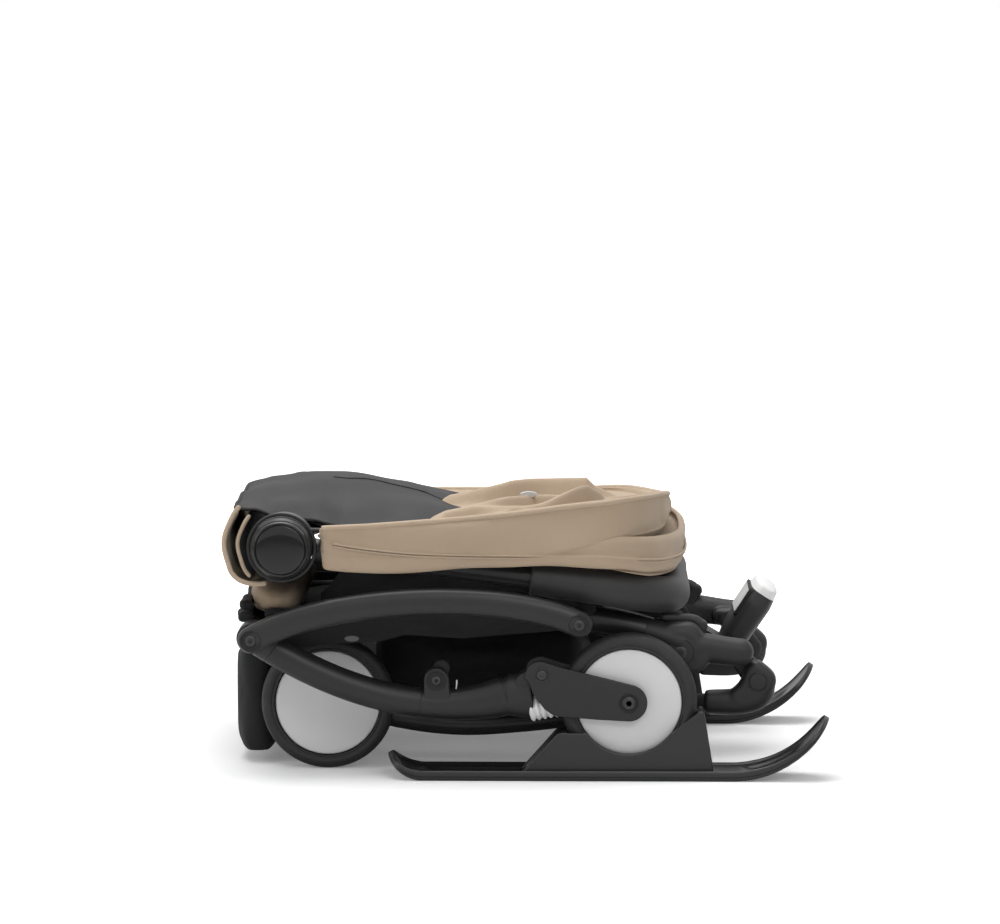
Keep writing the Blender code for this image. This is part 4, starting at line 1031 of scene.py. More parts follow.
    def saddle(self) -> list[Patch]:
        """Two walls, a quarter-round fillet along the foot of each, and the sloping blocks between them."""
        base = self.ski_thickness * 0.55
        x, z = self.axle
        outline = np.vstack([np.linspace((-0.006, base), (0.030, 0.0445), 12), [(0.036, 0.0462), (0.044, 0.0455)],
                             arc((x, z), 0.0495, 216, 322, 40),
                             [(0.1435, 0.0474), (0.152, 0.0542), (0.1655, 0.0648), (0.1690, 0.0672),
                              (0.1718, 0.0660)],
                             np.linspace((0.1735, 0.060), (0.1825, base), 8),
                             np.linspace((0.16, base), (0.02, base), 12)])
        outline = even(outline, 220)
        wall = self.wheel_half + 0.0015
        walls = [plate(outline, *self.span(self.leg_y + low, self.leg_y + high), 0.0018, 7)
                 for low, high in ((wall, wall + 0.0062), (-wall - 0.0062, -wall))]
        run = np.linspace(-0.006, 0.186, 60)
        bend = np.linspace(0, np.pi / 2, 8)
        for sign in (-1, 1):
            out = np.concatenate([wall + 0.0060 + 0.0055 * (1 - np.sin(bend)), [wall + 0.002, wall + 0.002]])
            up = np.concatenate([base + 0.0005 + 0.0055 * (1 - np.cos(bend)), [base + 0.006, base - 0.001]])
            share = np.clip(np.minimum(run + 0.006, 0.186 - run) / 0.012, 0.02, 1)[:, None]
            grid = [np.broadcast_to(run[:, None], (60, 10)), self.side.value * self.leg_y
                    + sign * (wall + (out[None] - wall) * np.where(out > wall + 0.0062, share, 1.0)),
                    base + (up[None] - base) * np.where(up > base, share, 1.0)]
            walls.append(np.stack(grid, axis=2))
        front = np.vstack([np.linspace((-0.004, base), (0.031, 0.0440), 10), [(0.0375, 0.0452)],
                           arc((x, z), self.wheel_radius + 0.0016, 205, 244, 14), [(0.06, base)]])
        back_outline = np.vstack([arc((x, z), self.wheel_radius + 0.0016, 300, 352, 16),
                                  [(0.1672, 0.0650), (0.1712, 0.0600), (0.1810, base)]])
        blocks = [plate(even(o, 80), *self.span(self.leg_y - wall - 0.001, self.leg_y + wall + 0.001), 0.0004)
                  for o in (front, back_outline)]
        return [Patch(rings, polygon=True) for rings in walls + blocks]

    def make(self) -> None:
        """Build every piece of the wheel."""
        for step in (self.fork, self.buffer, self.wheel, self.ski):
            step()
        word = self.side.word
        self.shop.dress([f"suspension_pin_{word}", f"front_axle_{word}"], Finish.BOLT)


def make_wheel(shop: Workshop, where: str, side: Side, axle: Point, offset: float, body: str) -> None:
    """Tyre and disc, each a profile of (radius, y) turned about the axle.

    The tyre's sidewall has a fine raised ring and a step to the disc; the disc is
    very slightly domed, with a dished hub. A rear wheel's disc is closed, and its
    tread ends 1 mm lower, at the height of its axle above the ground.

    Args:
        shop: where pieces are made.
        where: front or rear.
        side: which side.
        axle: (x, z) of the axle.
        offset: distance of the wheel from the middle plane.
        body: what it rides on.
    """
    half = 0.013
    wall = [(0.0516, 0.0102), (0.0521, 0.0118), (0.0530, 0.0122), (0.0536, 0.0117), (0.0545, 0.0117),
            (0.0556, 0.0126), (0.0578, half), (0.0604, 0.0124), (0.0633, 0.0108), (0.0652, 0.0082), (0.0660, 0.0045)]
    tread = {"front": 0.0660, "rear": 0.0650}[where]
    bulge, full = 0.0578, 0.0082  # radius of the widest place, and from there to the outermost point of wall
    wall = [(r if r < bulge else bulge + (r - bulge) * (tread - bulge) / full, v) for r, v in wall]
    profile = rounded([(r, -v) for r, v in wall] + [(r, v) for r, v in wall[::-1]], 0.0006)
    profile = [(0.0516, -0.0102)] + profile
    middle = side.value * offset
    tyre = turned(axle, [(r, middle + v) for r, v in profile], 120)
    shop.make(f"{where}_tyre_{side.word}_ring", [Patch(tyre, caps=False, loop=True)], Finish.TYRE, body, Slot.TYRE,
              [f"{where}_tyre_{side.word}"], sharp=60)
    face = [(0.0056, 0.0112), (0.0090, 0.0126), (0.0120, 0.0126), (0.0138, 0.0112), (0.0150, 0.0108),
            (0.0330, 0.0112), (0.0480, 0.0106), (0.0502, 0.0103), (0.0510, 0.0092)]
    inner = [(r, -v) for r, v in face]
    outer = [(r, v) for r, v in face[::-1]]
    closed = where == "rear"
    if closed:
        inner = [(0.0005, 0.0092), (0.0056, 0.0092)] + inner
        outer = outer[:3] + [(0.0330, 0.0112), (0.0005, 0.0116)]
    disc = rounded(inner + outer, 0.0006)
    rings = turned(axle, [(r, middle + side.value * v) for r, v in disc], 120)
    shop.make(f"{where}_wheel_disc_{side.word}_plate", [Patch(rings, caps=closed, loop=not closed)], Finish.DISC,
              body,
              Slot.DISC, [f"{where}_wheel_disc_{side.word}"], sharp=60)


@dataclass
class Softener:
    """Turns joined shells into one blended skin, and pads into stuffed cloth."""

    shop: Workshop

    def bake(self, piece: bpy.types.Object) -> None:
        """Make the modifiers' result the piece's own mesh."""
        graph = bpy.context.evaluated_depsgraph_get()
        old = piece.data
        fresh = bpy.data.meshes.new_from_object(piece.evaluated_get(graph))
        piece.modifiers.clear()
        piece.data = fresh
        bpy.data.meshes.remove(old)

    def melt(self, piece: bpy.types.Object, voxel: float, rounds: int, factor: float = 0.5) -> bpy.types.Object:
        """Join a piece's shells on a voxel grid and even out the creases between them.

        Args:
            piece: overlapping closed shells.
            voxel: size of the grid.
            rounds: smoothing passes, each moving a point towards its neighbours' mean.
            factor: share of the way that it moves.

        Returns:
            The piece.
        """
        finish = piece.data.materials[0]
        remesh = piece.modifiers.new("grid", "REMESH")
        remesh.mode = "VOXEL"
        remesh.voxel_size = voxel
        smooth = piece.modifiers.new("even", "SMOOTH")
        smooth.factor = factor
        smooth.iterations = rounds
        self.bake(piece)
        piece.data.materials.clear()
        piece.data.materials.append(finish)
        piece.data.shade_smooth()
        return piece

    def puff(self, piece: bpy.types.Object, voxel: float = 0.005, pressure: float = 4.0, cap: float = 0.006,
             fill: float = 0.5) -> bpy.types.Object:
        """Blow a pad up as cloth with no gravity, capping how far a point moves, then subdivide it once.

        Args:
            piece: the slack form, a little smaller than the pad.
            voxel: size of the cloth's grid.
            pressure: inside the pad.
            cap: the furthest that a point may move.
            fill: how full the pad is; not used.

        Returns:
            The pad.
        """
        self.melt(piece, voxel, 2)
        before = np.empty(len(piece.data.vertices) * 3)
        piece.data.vertices.foreach_get("co", before)
        cloth = piece.modifiers.new("cloth", "CLOTH")
        cloth.settings.use_pressure = True
        cloth.settings.uniform_pressure_force = pressure
        cloth.settings.effector_weights.gravity = 0.0
        cloth.settings.tension_stiffness = 25
        cloth.settings.quality = 4
        cloth.point_cache.frame_start, cloth.point_cache.frame_end = 1, 20
        for frame in range(1, 21):
            bpy.context.scene.frame_set(frame)
        self.bake(piece)
        bpy.context.scene.frame_set(1)
        after = np.empty_like(before)
        piece.data.vertices.foreach_get("co", after)
        move = (after - before).reshape(-1, 3)
        length = np.linalg.norm(move, axis=1)[:, None]
        after = before.reshape(-1, 3) + move * np.minimum(1.0, cap / np.maximum(length, 1e-9))
        piece.data.vertices.foreach_set("co", after.ravel())
        piece.data.update()
        smooth = piece.modifiers.new("weave", "SUBSURF")
        smooth.levels = smooth.render_levels = 1
        self.bake(piece)
        piece.data.shade_smooth()
        return piece


@dataclass
class RearFrame:
    """Rear arm, moulded hinge, folded rear leg and rear wheel of one side."""

    shop: Workshop
    soft: Softener
    side: Side
    rail_rear: Point = (0.052, 0.152)
    hinge: Point = (0.150, 0.118)
    elbow: Point = (0.226, 0.085)
    axle: Point = (-0.194, 0.065)
    arm_y: float = 0.150
    elbow_y: float = 0.1365
    leg_y: float = 0.098
    wheel_y: float = 0.130
    arm_radius: float = 0.0125
    shoulder: float = 0.0235

    def span(self, low: float, high: float) -> Point:
        """Values of y for distances from the middle plane, smaller first."""
        return tuple(sorted((self.side.value * low, self.side.value * high)))

    def drum(self, centre: Point, radius: float, low: float, high: float, edge: float, count: int = 48) -> Array:
        """Disc with rounded rims, turned about Y."""
        a, b = self.span(low, high)
        profile = rounded([(0.001, a), (radius, a), (radius, b), (0.001, b)], edge / max(radius, 1e-6) * radius, 5)
        return turned(centre, profile, count)

    def arm(self) -> None:
        """Tube along a cubic from the rail's bolt, with a fine joint line before the hinge."""
        start, hinge = np.array(self.rail_rear), np.array(self.hinge)
        t = np.unique(np.concatenate([np.linspace(0, 0.93, 60), 0.70 + np.linspace(-0.010, 0.010, 9)]))
        path = bezier([start, start + (0.03, -0.006), hinge + (-0.035, 0.026), hinge + (-0.004, 0.006)], t)
        radius = (self.arm_radius + 0.0012 * np.clip(t - 0.6, 0, 1)) * (1 - 0.04 * np.exp(-((t - 0.70) / 0.003) ** 2))
        profile = ring(1.0, 40)[None] * radius[:, None, None]
        tube = carried(flat(path, self.side.value * self.arm_y), profile, start=self.arm_radius)
        boss = self.drum(self.rail_rear, 0.0098, self.arm_y, 0.2032, 0.0008)
        name = f"rear_arm_{self.side.word}"
        self.shop.make(name + "_tube", [tube, boss], Finish.TUBE, "seat_frame", Slot.TUBE, [name])

    def moulding(self) -> None:
        """Shoulder, knuckle, finger and elbow bracket, blended into one moulded hinge."""
        x, z = self.hinge
        y = self.arm_y
        half = self.arm_radius + 0.0004
        s = self.side.value
        knuckle = plate(capsule((x, z + 0.001), (x + 0.014, z - 0.006), self.shoulder, 0.014, 60),
                        *self.span(y - half, y + half), 0.005)
        hump = plate(capsule((x - 0.008, z + 0.0125), (x + 0.006, z + 0.0130), 0.0165, 0.0165, 60),
                     *self.span(y - half + 0.001, y + half - 0.001), 0.008)
        t = np.linspace(0, 1, 20)
        neck = bezier([(x - 0.036, z + 0.0205), (x - 0.020, z + 0.016), (x - 0.010, z + 0.012),
                       (x + 0.004, z + 0.008)], t)
        neck = carried(flat(neck, s * y), ring(1.0, 32)[None] * np.linspace(0.0131, 0.0150, 20)[:, None, None])
        finger = bezier([(x + 0.008, z + 0.004), (x + 0.026, z + 0.004), (x + 0.04, z), (x + 0.059, z - 0.001)], t)
        widths = np.interp(t, [0, 0.3, 1], [0.0150, 0.0138, 0.0128])
        finger = carried(flat(finger, s * y),
                         ring(1.0, 32, 2.3)[None] * np.stack([widths * 0.93, widths * 1.06], 1)[:, None],
                         end=0.0125)
        outer = self.elbow_y - 0.014
        strut = plate(capsule((0.204, 0.1145), self.elbow, 0.0105, 0.0120, 48), *self.span(outer - 0.0095, outer),
                      0.0018)
        tie = plate(capsule((0.196, 0.1165), (0.208, 0.1165), 0.0080, count=36),
                    *self.span(outer - 0.006, y - 0.002), 0.001)
        name = f"rear_hinge_{self.side.word}"
        piece = self.shop.build(name, [knuckle, hump, neck, finger, strut, tie], Finish.MOULDING)
        self.soft.melt(piece, 0.0011, 22)
        self.shop.fit(piece, "seat_frame", Slot.MOULDING)
        face = y + half
        self.ringed(f"hinge_cap_{self.side.word}", self.hinge, face - 0.0006, 0.0150, "seat_frame")
        self.shop.bolt(f"hinge_bolt_{self.side.word}", self.hinge, face, self.side, 0.0066, "seat_frame")

    def ringed(self, name: str, centre: Point, face: float, radius: float, body: str,
               finish: Finish = Finish.MOULDING) -> None:
        """Round cap with a fine groove near its rim."""
        s = self.side.value
        profile = rounded([(radius, -0.002), (radius, 0.0012), (radius * 0.90, 0.0016), (radius * 0.86, 0.0009),
                           (radius * 0.82, 0.0016), (0.0005, 0.0018)], 0.0003)
        self.shop.make(name, [turned(centre, [(r, s * (face + v)) for r, v in profile], 64)], finish, body,
                       Slot.MOULDING, sharp=60)

    def leg(self) -> None:
        """Tube through the folded leg's points, its oval section changing along it, and the moulded elbow."""
        points = [(0.176, self.elbow_y - 0.001, 0.0655), (0.138, 0.126, 0.0600), (0.085, 0.106, 0.051),
                  (0.000, self.leg_y, 0.040), (-0.070, self.leg_y, 0.037), (-0.135, self.leg_y, 0.046),
                  (self.axle[0], self.leg_y, self.axle[1])]
        path = through(points, 110)
        path[:, 1] *= self.side.value
        radius = np.interp(np.linspace(0, 1, 110), [0, 0.12, 0.3, 0.6, 1.0], [0.0092, 0.0088, 0.0088, 0.0098, 0.0100])
        tube = carried(path, ring(1.0, 32)[None] * radius[:, None, None])
        boss = self.drum(self.axle, 0.0135, self.leg_y - 0.012, self.leg_y + 0.012, 0.0015)
        pin = self.drum(self.axle, 0.005, self.leg_y, self.wheel_y + 0.0088, 0.0008, 24)
        collar = self.drum(self.axle, 0.0085, self.leg_y, self.wheel_y - 0.0133, 0.0006)
        name = f"rear_leg_{self.side.word}"
        self.shop.make(name + "_tube", [tube, boss, pin, collar], Finish.TUBE, "rear_legs", Slot.TUBE, [name])
        top = through([(0.226, self.elbow_y, 0.0885), (0.228, self.elbow_y, 0.0795), (0.2215, self.elbow_y, 0.0712),
                       (0.206, self.elbow_y, 0.0668), (0.1765, self.elbow_y - 0.001, 0.0662)], 36)
        top[:, 1] *= self.side.value
        share = np.linspace(0, 1, 36)
        up = np.interp(share, [0, 0.2, 0.45, 1], [0.0148, 0.0150, 0.0132, 0.0118])
        out = np.interp(share, [0, 0.3, 1], [0.0120, 0.0122, 0.0112])
        bend = carried(top, ring(1.0, 32, 2.4)[None] * np.stack([out, up], 1)[:, None], start=0.006, end=0.003)
        outline = [(0.2150, 0.1020), (0.2235, 0.1080), (0.2330, 0.1035), (0.2430, 0.0930), (0.2425, 0.0810),
                   (0.2345, 0.0712), (0.2240, 0.0632), (0.2020, 0.0628), (0.1970, 0.0740), (0.2080, 0.0860)]
        shell = plate(even(through(outline, 90, closed=True), 90),
                      *self.span(self.elbow_y - 0.0118, self.elbow_y + 0.0122),
                      0.0065, 8)
        piece = self.shop.build(f"rear_elbow_{self.side.word}", [bend, shell], Finish.MOULDING)
        self.soft.melt(piece, 0.0011, 16)
        self.shop.fit(piece, "rear_legs", Slot.MOULDING)
        self.ringed(f"elbow_cap_{self.side.word}", (self.elbow[0], self.elbow[1] + 0.003), self.elbow_y + 0.0116,
                    0.0098,
                    "rear_legs")

    def lever(self) -> None:
        """Rounded unlocking finger above the hinge, and the small bolted bracket behind it."""
        s = self.side.value
        path = through([(0.1345, 0, 0.1500), (0.150, 0, 0.1492), (0.164, 0, 0.1472), (0.172, 0, 0.1405)], 40)
        path[:, 1] = s * 0.1425
        size = np.interp(np.linspace(0, 1, 40), [0, 0.5, 1], [0.0046, 0.0052, 0.0056])
        finger = carried(path, ring(1.0, 30, 2.4)[None] * size[:, None, None], start=0.0045, end=0.005)
        foot = plate(capsule((0.171, 0.142), (0.160, 0.124), 0.0060, 0.0065, 36), *self.span(0.1370, 0.1480), 0.002)
        piece = self.shop.build(f"unlock_finger_{self.side.word}", [finger, foot], Finish.MOULDING)
        self.soft.melt(piece, 0.0010, 6)
        self.shop.fit(piece, "seat_frame", Slot.MOULDING)

    def make(self) -> None:
        """Build every piece of the side."""
        for step in (self.arm, self.moulding, self.leg, self.lever):
            step()
        make_wheel(self.shop, "rear", self.side, self.axle, self.wheel_y, f"rear_wheel_{self.side.word}")


@dataclass
class CrossMembers:
    """Tubes between the sides, brake pedal, release grip and its bracket."""

    shop: Workshop
    soft: Softener
    release_foot: Point = (0.201, 0.108)
    lean: float = math.radians(57)
    reach: float = 0.0680

    def release(self) -> None:
        """Grip carried along its sloping line, a superellipse section that narrows at the top."""
        heading = np.array((math.cos(self.lean), math.sin(self.lean)))
        t = np.linspace(0, 1, 30)
        path = np.array(self.release_foot) + heading * (self.reach * t)[:, None]
        width = np.interp(t, [0, 0.15, 0.7, 1], [0.0455, 0.0478, 0.0478, 0.0440])
        thick = np.interp(t, [0, 0.2, 0.75, 1], [0.0112, 0.0140, 0.0150, 0.0124])
        profile = ring(1.0, 64, 3.6)[None] * np.stack([width, thick], 1)[:, None]
        shell = carried(flat(path[:27], 0.0), profile[:27])
        self.shop.make("release_grip_shell", [shell], Finish.MOULDING, "release", Slot.MOULDING, ["release_grip"])
        tip = carried(flat(path[26:], 0.0), profile[26:] * 0.985, end=0.0045)
        self.shop.make("release_tip", [tip], Finish.BUFFER, "release", Slot.MOULDING)
        normal = np.array((-heading[1], heading[0]))
        for name, finish, low, high, half, off in (("release_window", Finish.LABEL, 0.46, 0.84, 0.036, 0.0146),
                                                   ("release_frame", Finish.MATT, 0.42, 0.88, 0.040, 0.0141)):
            corner = rounded_box((low * self.reach, high * self.reach), half, 0.0025)
            spot = np.array(self.release_foot) + heading * corner[:, :1]
            lifted = [np.stack([spot[:, 0] + normal[0] * d, corner[:, 1], spot[:, 1] + normal[1] * d], 1)
                      for d in (off - 0.003, off + 0.0002, off + 0.0006)]
            lifted[2] = lifted[2] * (1, 0.985, 1)
            self.shop.make(name, [Patch(np.array(lifted), polygon=True)], finish, "release", Slot.MOULDING)

    def tubes(self) -> None:
        """Straight cross tubes as turned cylinders with softened rims."""
        for node, centre, radius, reach, body in (
                ("front_cross_tube", (-0.264, 0.136), 0.008, 0.2032, "seat_frame"),
                ("rear_cross_tube", (0.150, 0.118), 0.008, 0.1152, "seat_frame"),
                ("rear_axle_bar", (-0.194, 0.065), 0.007, 0.0857, "rear_legs"),
                ("back_cross_bar", (-0.235, 0.224), 0.008, 0.1167, "back_frame")):
            profile = rounded([(0.0005, -reach), (radius, -reach), (radius, reach), (0.0005, reach)], 0.0008)
            self.shop.make(node + "_tube", [turned(centre, profile, 40)], Finish.TUBE, body, Slot.TUBE, [node])

    def make(self) -> None:
        """Build the cross members."""
        self.release()
        self.tubes()
        self.shop.dress(["brake_pedal", "release_bracket"], Finish.MOULDING)
        for side in Side:
            bar = seat_line(np.linspace(-0.2554, 0.0389, 30))
            tube = carried(flat(bar, side.value * 0.150), ring(0.007, 28))
            self.shop.make(f"seat_bar_{side.word}_tube", [tube], Finish.TUBE, "seat_frame", Slot.TUBE,
                           [f"seat_bar_{side.word}"])


def rounded_box(span: Point, half: float, corner: float) -> Array:
    """Closed outline of a rectangle whose corners are quarter circles: (along, across) points."""
    low, high = span
    return np.vstack([arc((high - corner, half - corner), corner, 0, 90, 7),
                      arc((low + corner, half - corner), corner, 90, 180, 7),
                      arc((low + corner, -half + corner), corner, 180, 270, 7),
                      arc((high - corner, -half + corner), corner, 270, 360, 7)])


def seat_line(x: Array) -> Array:
    """Middle line of the seat bars: straight from the front tube to the rail's rear bolt."""
    return np.stack([x, 0.141 + 0.011 * (x + 0.264) / 0.316], axis=1)


@dataclass
class Handle:
    """Back arms, folded handlebar with its foam grip, and the hubs of its fold."""

    shop: Workshop
    hub: Point = (-0.235, 0.224)
    hinge: Point = (0.150, 0.118)
    offset: float = 0.182
    bar_radius: float = 0.011
    grip_radius: float = 0.018
    grip_start: float = 0.005
    bend: float = 0.142
    turn: float = 0.075
    barrel: float = 0.030
    barrel_span: Point = (0.1485, 0.212)

    def path(self, start: float) -> Array:
        """U of the handlebar: straight arm, quarter turn, straight end, mirrored; it falls by 0.1247 a metre."""
        straight = np.linspace(start, self.bend - self.turn, 40)[:-1]
        near = np.vstack([np.stack([straight, np.full(39, self.offset)], 1),
                          arc((self.bend - self.turn, self.offset - self.turn), self.turn, 90, 0, 26),
                          np.stack([np.full(12, self.bend), np.linspace(0.1, 0.0, 12)], 1)])
        plan = np.vstack([near, (near * (1, -1))[-2::-1]])
        droop = 0.0068 * np.clip((plan[:, 0] - 0.040) / 0.102, 0, 1) ** 2
        return np.column_stack([plan, self.hub[1] - 0.1247 * (plan[:, 0] - self.hub[0]) - droop])

    def bars(self) -> None:
        """The steel U and its foam sleeve, whose radius swells and dips a little as foam does."""
        start = self.hub[0] + self.barrel
        bar = carried(self.path(start), ring(self.bar_radius, 32), side=(0, 0, 1))
        self.shop.make("handlebar_tube", [bar], Finish.TUBE, "handle", Slot.TUBE, ["handlebar"])
        path = self.path(self.grip_start)
        s = np.linspace(0, 1, len(path))
        radius = self.grip_radius * (1 + 0.012 * np.sin(s * 37) + 0.010 * np.sin(s * 91 + 1))
        edge = np.clip(np.minimum(s, 1 - s) / 0.008, 0, 1)
        radius = radius * (0.90 + 0.10 * np.sqrt(1 - (1 - edge) ** 2))
        sleeve = carried(path, ring(1.0, 44)[None] * radius[:, None, None], side=(0, 0, 1))
        self.shop.make("handle_grip_foam", [sleeve], Finish.FOAM, "handle", Slot.FOAM, ["handle_grip"], sharp=50)

    def back_arms(self) -> None:
        """Straight tubes to the hubs, with the eye at the hinge and the plate under the barrel."""
        hinge, hub = np.array(self.hinge), np.array(self.hub)
        t = np.linspace(0.02, 0.985, 30)[:, None]
        for side in Side:
            s = side.value
            tube = carried(flat(hinge + (hub - hinge) * t, s * 0.126), ring(0.0087, 32))
            eye = turned(self.hinge, rounded([(0.0066, s * 0.117), (0.013, s * 0.117), (0.013, s * 0.135),
                                              (0.0066, s * 0.135), (0.0066, s * 0.117)], 0.001), 48)
            face = self.barrel_span[0]
            cup = turned(self.hub, rounded([(0.001, s * 0.117), (0.0089, s * 0.117), (0.0089, s * (face - 0.011)),
                                            (0.0270, s * (face - 0.0110)), (0.0285, s * (face - 0.0040)),
                                            (0.0270, s * (face - 0.0003)), (0.001, s * (face - 0.0003))], 0.0015), 64)
            name = f"back_arm_{side.word}"
            self.shop.make(name + "_tube", [tube, Patch(eye, caps=False, loop=True), cup], Finish.TUBE, "back_frame",
                           Slot.TUBE, [name])

    def hubs(self) -> None:
        """Barrel with a soft shoulder and a fine groove; glossy cap with a rim bead and a shallow dome."""
        low, high = self.barrel_span
        for side in Side:
            s = side.value
            shape = [(0.001, low), (0.0262, low), (0.0300, low + 0.004), (0.0300, high - 0.0125),
                     (0.0296, high - 0.0120),
                     (0.0300, high - 0.0115), (0.0300, high - 0.0050), (0.0284, high - 0.0012), (0.0276, high),
                     (0.001, high)]
            barrel = turned(self.hub, [(r, s * y) for r, y in rounded(shape, 0.0012, 5)], 96)
            self.shop.make(f"hub_barrel_{side.word}_shell", [barrel], Finish.RAIL, "handle", Slot.MOULDING,
                           [f"hub_barrel_{side.word}"])
            face = high + 0.0003
            dome = [(0.0234 * math.sin(a), face + 0.0064 + 0.0016 * math.cos(a)) for a in np.linspace(math.pi / 2,
                                                                                                      0.02, 12)]
            shape = [(0.0266, face), (0.0272, face + 0.0030), (0.0268, face + 0.0058), (0.0258, face + 0.0068),
                     (0.0248, face + 0.0066), (0.0242, face + 0.0054)] + dome
            cap = turned(self.hub, [(r, s * y) for r, y in rounded(shape, 0.0005, 4)], 96)
            self.shop.make(f"hub_cap_{side.word}_face", [cap], Finish.CAP, "handle", Slot.CAP,
                           [f"hub_cap_{side.word}"], sharp=70)

    def make(self) -> None:
        """Build the handle."""
        for step in (self.bars, self.back_arms, self.hubs):
            step()


@dataclass
class Canopy:
    """Folded canopy: lower layer, hood, crumpled lining, black panel thrown forward, and the roll round the hubs."""

    shop: Workshop
    hub: Point = (-0.235, 0.224)
    front: float = -0.1965
    rear: float = 0.157
    half: float = 0.2125
    top: float = 0.236
    floor: float = 0.2366
    turn: float = 0.095

    def plan(self, count: int = 320) -> tuple[Array, Array]:
        """Outline from above, from the near front corner round the rear end, and its outward normals.

        The rear end is x = r - t + t |cos a|^0.8, y = h sgn(sin a) |sin a|^0.72.
        """
        a = np.radians(np.linspace(-90, 90, 181))
        end = np.stack([self.rear - self.turn + self.turn * np.abs(np.cos(a)) ** 0.8,
                        self.half * np.sign(np.sin(a)) * np.abs(np.sin(a)) ** 0.72], axis=1)
        corner, side = self.front + 0.003, self.half
        outline = even(np.vstack([[(self.front, 0.003 - side), (corner, -side)], end,
                                  [(corner, side), (self.front, side - 0.003), (self.front + 0.008, 0.0)]]), count)
        along = np.roll(outline, -2, 0) - np.roll(outline, 2, 0)
        normal = np.stack([along[:, 1], -along[:, 0]], axis=1)
        return outline, normal / np.linalg.norm(normal, axis=1)[:, None]

    def under(self, x: Array) -> Array:
        """Height of the underside, just over the grip and the arms."""
        bar = self.hub[1] - 0.1247 * (x - self.hub[0])
        return bar + 0.0201 - 0.009 * np.clip(-(x - 0.004) / 0.05, 0, 1) - 0.006 * np.clip((x - 0.08) / 0.04, 0, 1)

    def closed(self, x: Array, y: Array) -> Array:
        """0 across the open front, where the arms pass, and 1 along the sides and behind."""
        return np.maximum(np.clip((x - self.front - 0.010) / 0.030, 0, 1),
                          np.clip((np.abs(y) - 0.2035) / 0.004, 0, 1))

    def read(self, x: Array, points: Sequence[Point]) -> Array:
        """Height at x of a smooth curve through points."""
        fine = through(points, 240)
        return np.interp(x, fine[:, 0], fine[:, 1])

    def skirt(self, x: Array, y: Array) -> Array:
        """Lower edge of the skirt; it meets the underside at the open front."""
        hem = self.read(x, [(-0.200, 0.2062), (-0.186, 0.2034), (-0.160, 0.2006), (-0.133, 0.2000), (-0.089, 0.2026),
                            (-0.025, 0.2066), (0.038, 0.2072), (0.090, 0.2040), (0.120, 0.1990), (0.160, 0.1965)])
        hem = hem + 0.0005 * np.sin(x * 74)
        return self.under(x) + (hem - self.under(x)) * self.closed(x, y)

    def seam(self, x: Array) -> Array:
        """Height of the seam between the lower band and the cloth above it."""
        return self.read(x, [(-0.200, 0.2325), (-0.190, 0.2308), (-0.156, 0.2252), (-0.108, 0.2206), (-0.038, 0.2186),
                             (0.060, 0.2182), (0.100, 0.2150), (0.130, 0.2110), (0.160, 0.2080)])

    def crest(self, x: Array) -> Array:
        """Top of the lower layer, which sinks a little at the rear."""
        return self.top - 0.007 * np.clip((x - 0.085) / 0.07, 0, 1) ** 1.5

    def rim(self, x: Array, y: Array) -> Array:
        """Height of the hood's rim: a smooth curve on the near side, sinking towards the far one."""
        near = self.read(x, [(-0.200, 0.2450), (-0.153, 0.2474), (-0.108, 0.2510), (-0.070, 0.2544), (-0.032, 0.2584),
                             (0.006, 0.2633), (0.038, 0.2680), (0.070, 0.2716), (0.102, 0.2744), (0.145, 0.2752)])
        share = np.clip((y + 0.20) / 0.38, 0, 1)
        sunk = 0.031 * share * share * (3 - 2 * share)
        return self.floor + np.maximum(near - self.floor - sunk, 0.0015) * self.closed(x, y)

    def layer(self, rows: Array, heights: Callable[[Array, Array, Array], Array], waves: Sequence[Sequence[float]],
              squeeze: float = 1.0, inset: float = 0.0) -> Array:
        """Rings of the outline pulled in by each row's inset, wrinkled along the outline.

        Args:
            rows: inset, then what the heights need, and last the share of the wrinkles.
            heights: height from x, y and the rows.
            waves: wrinkles as for ripple, by distance along the outline and by row.
            squeeze: factor of the length.
            inset: added to every row's.

        Returns:
            Rings of points.
        """
        outline, normal = self.plan()
        run = np.concatenate([[0.0], np.cumsum(np.linalg.norm(np.diff(outline, axis=0), axis=1))])
        level = np.linspace(0, 1, len(rows))[:, None]
        fold = ripple(run[None], level, waves) * rows[:, -1:]
        spot = outline[None] - normal[None] * (rows[:, :1] + inset - fold)[..., None]
        x = self.front + (spot[..., 0] - self.front) * squeeze
        return np.stack([x, spot[..., 1], heights(x, spot[..., 1], rows)], axis=2)

    def piping(self, name: str, rings: Array, row: float, radius: float, finish: Finish, body: str = "canopy",
               trim: tuple[int, int] = (4, -34)) -> bpy.types.Object:
        """Cord sewn along one row of a layer's rings."""
        low = int(row)
        path = rings[low] * (1 - row + low) + rings[min(low + 1, len(rings) - 1)] * (row - low)
        path = through(path[trim[0]:trim[1]:2], 420)
        return self.shop.make(name, [carried(path, ring(radius, 12), side=(0, 0, 1), start=radius, end=radius)],
                              finish,
                              body, Slot.BEIGE)

    def lower(self) -> None:
        """Lower layer: it lies on the grip, and its skirt hangs beside the arms."""
        rows = through([(0.060, 1, 0, 0, 0), (0.0115, 1, 0, 0, 0.1), (0.0085, 0.1, 0.9, 0, 0.3),
                        (0.0055, 0, 1, 0, 0.6),
                        (0.0026, 0, 0.97, 0.03, 0.8), (0.0006, 0, 0.85, 0.15, 1), (0.0002, 0, 0.62, 0.38, 0.8),
                        (0.0010, 0, 0.50, 0.50, 0.5), (0.0004, 0, 0.38, 0.62, 0.6), (0.0008, 0, 0.14, 0.86, 0.6),
                        (0.0042, 0, 0, 1, 0.3), (0.0076, 0.04, 0, 0.96, 0.2), (0.0110, 0.26, 0, 0.74, 0.1),
                        (0.0600, 0.26, 0, 0.74, 0)], 110)

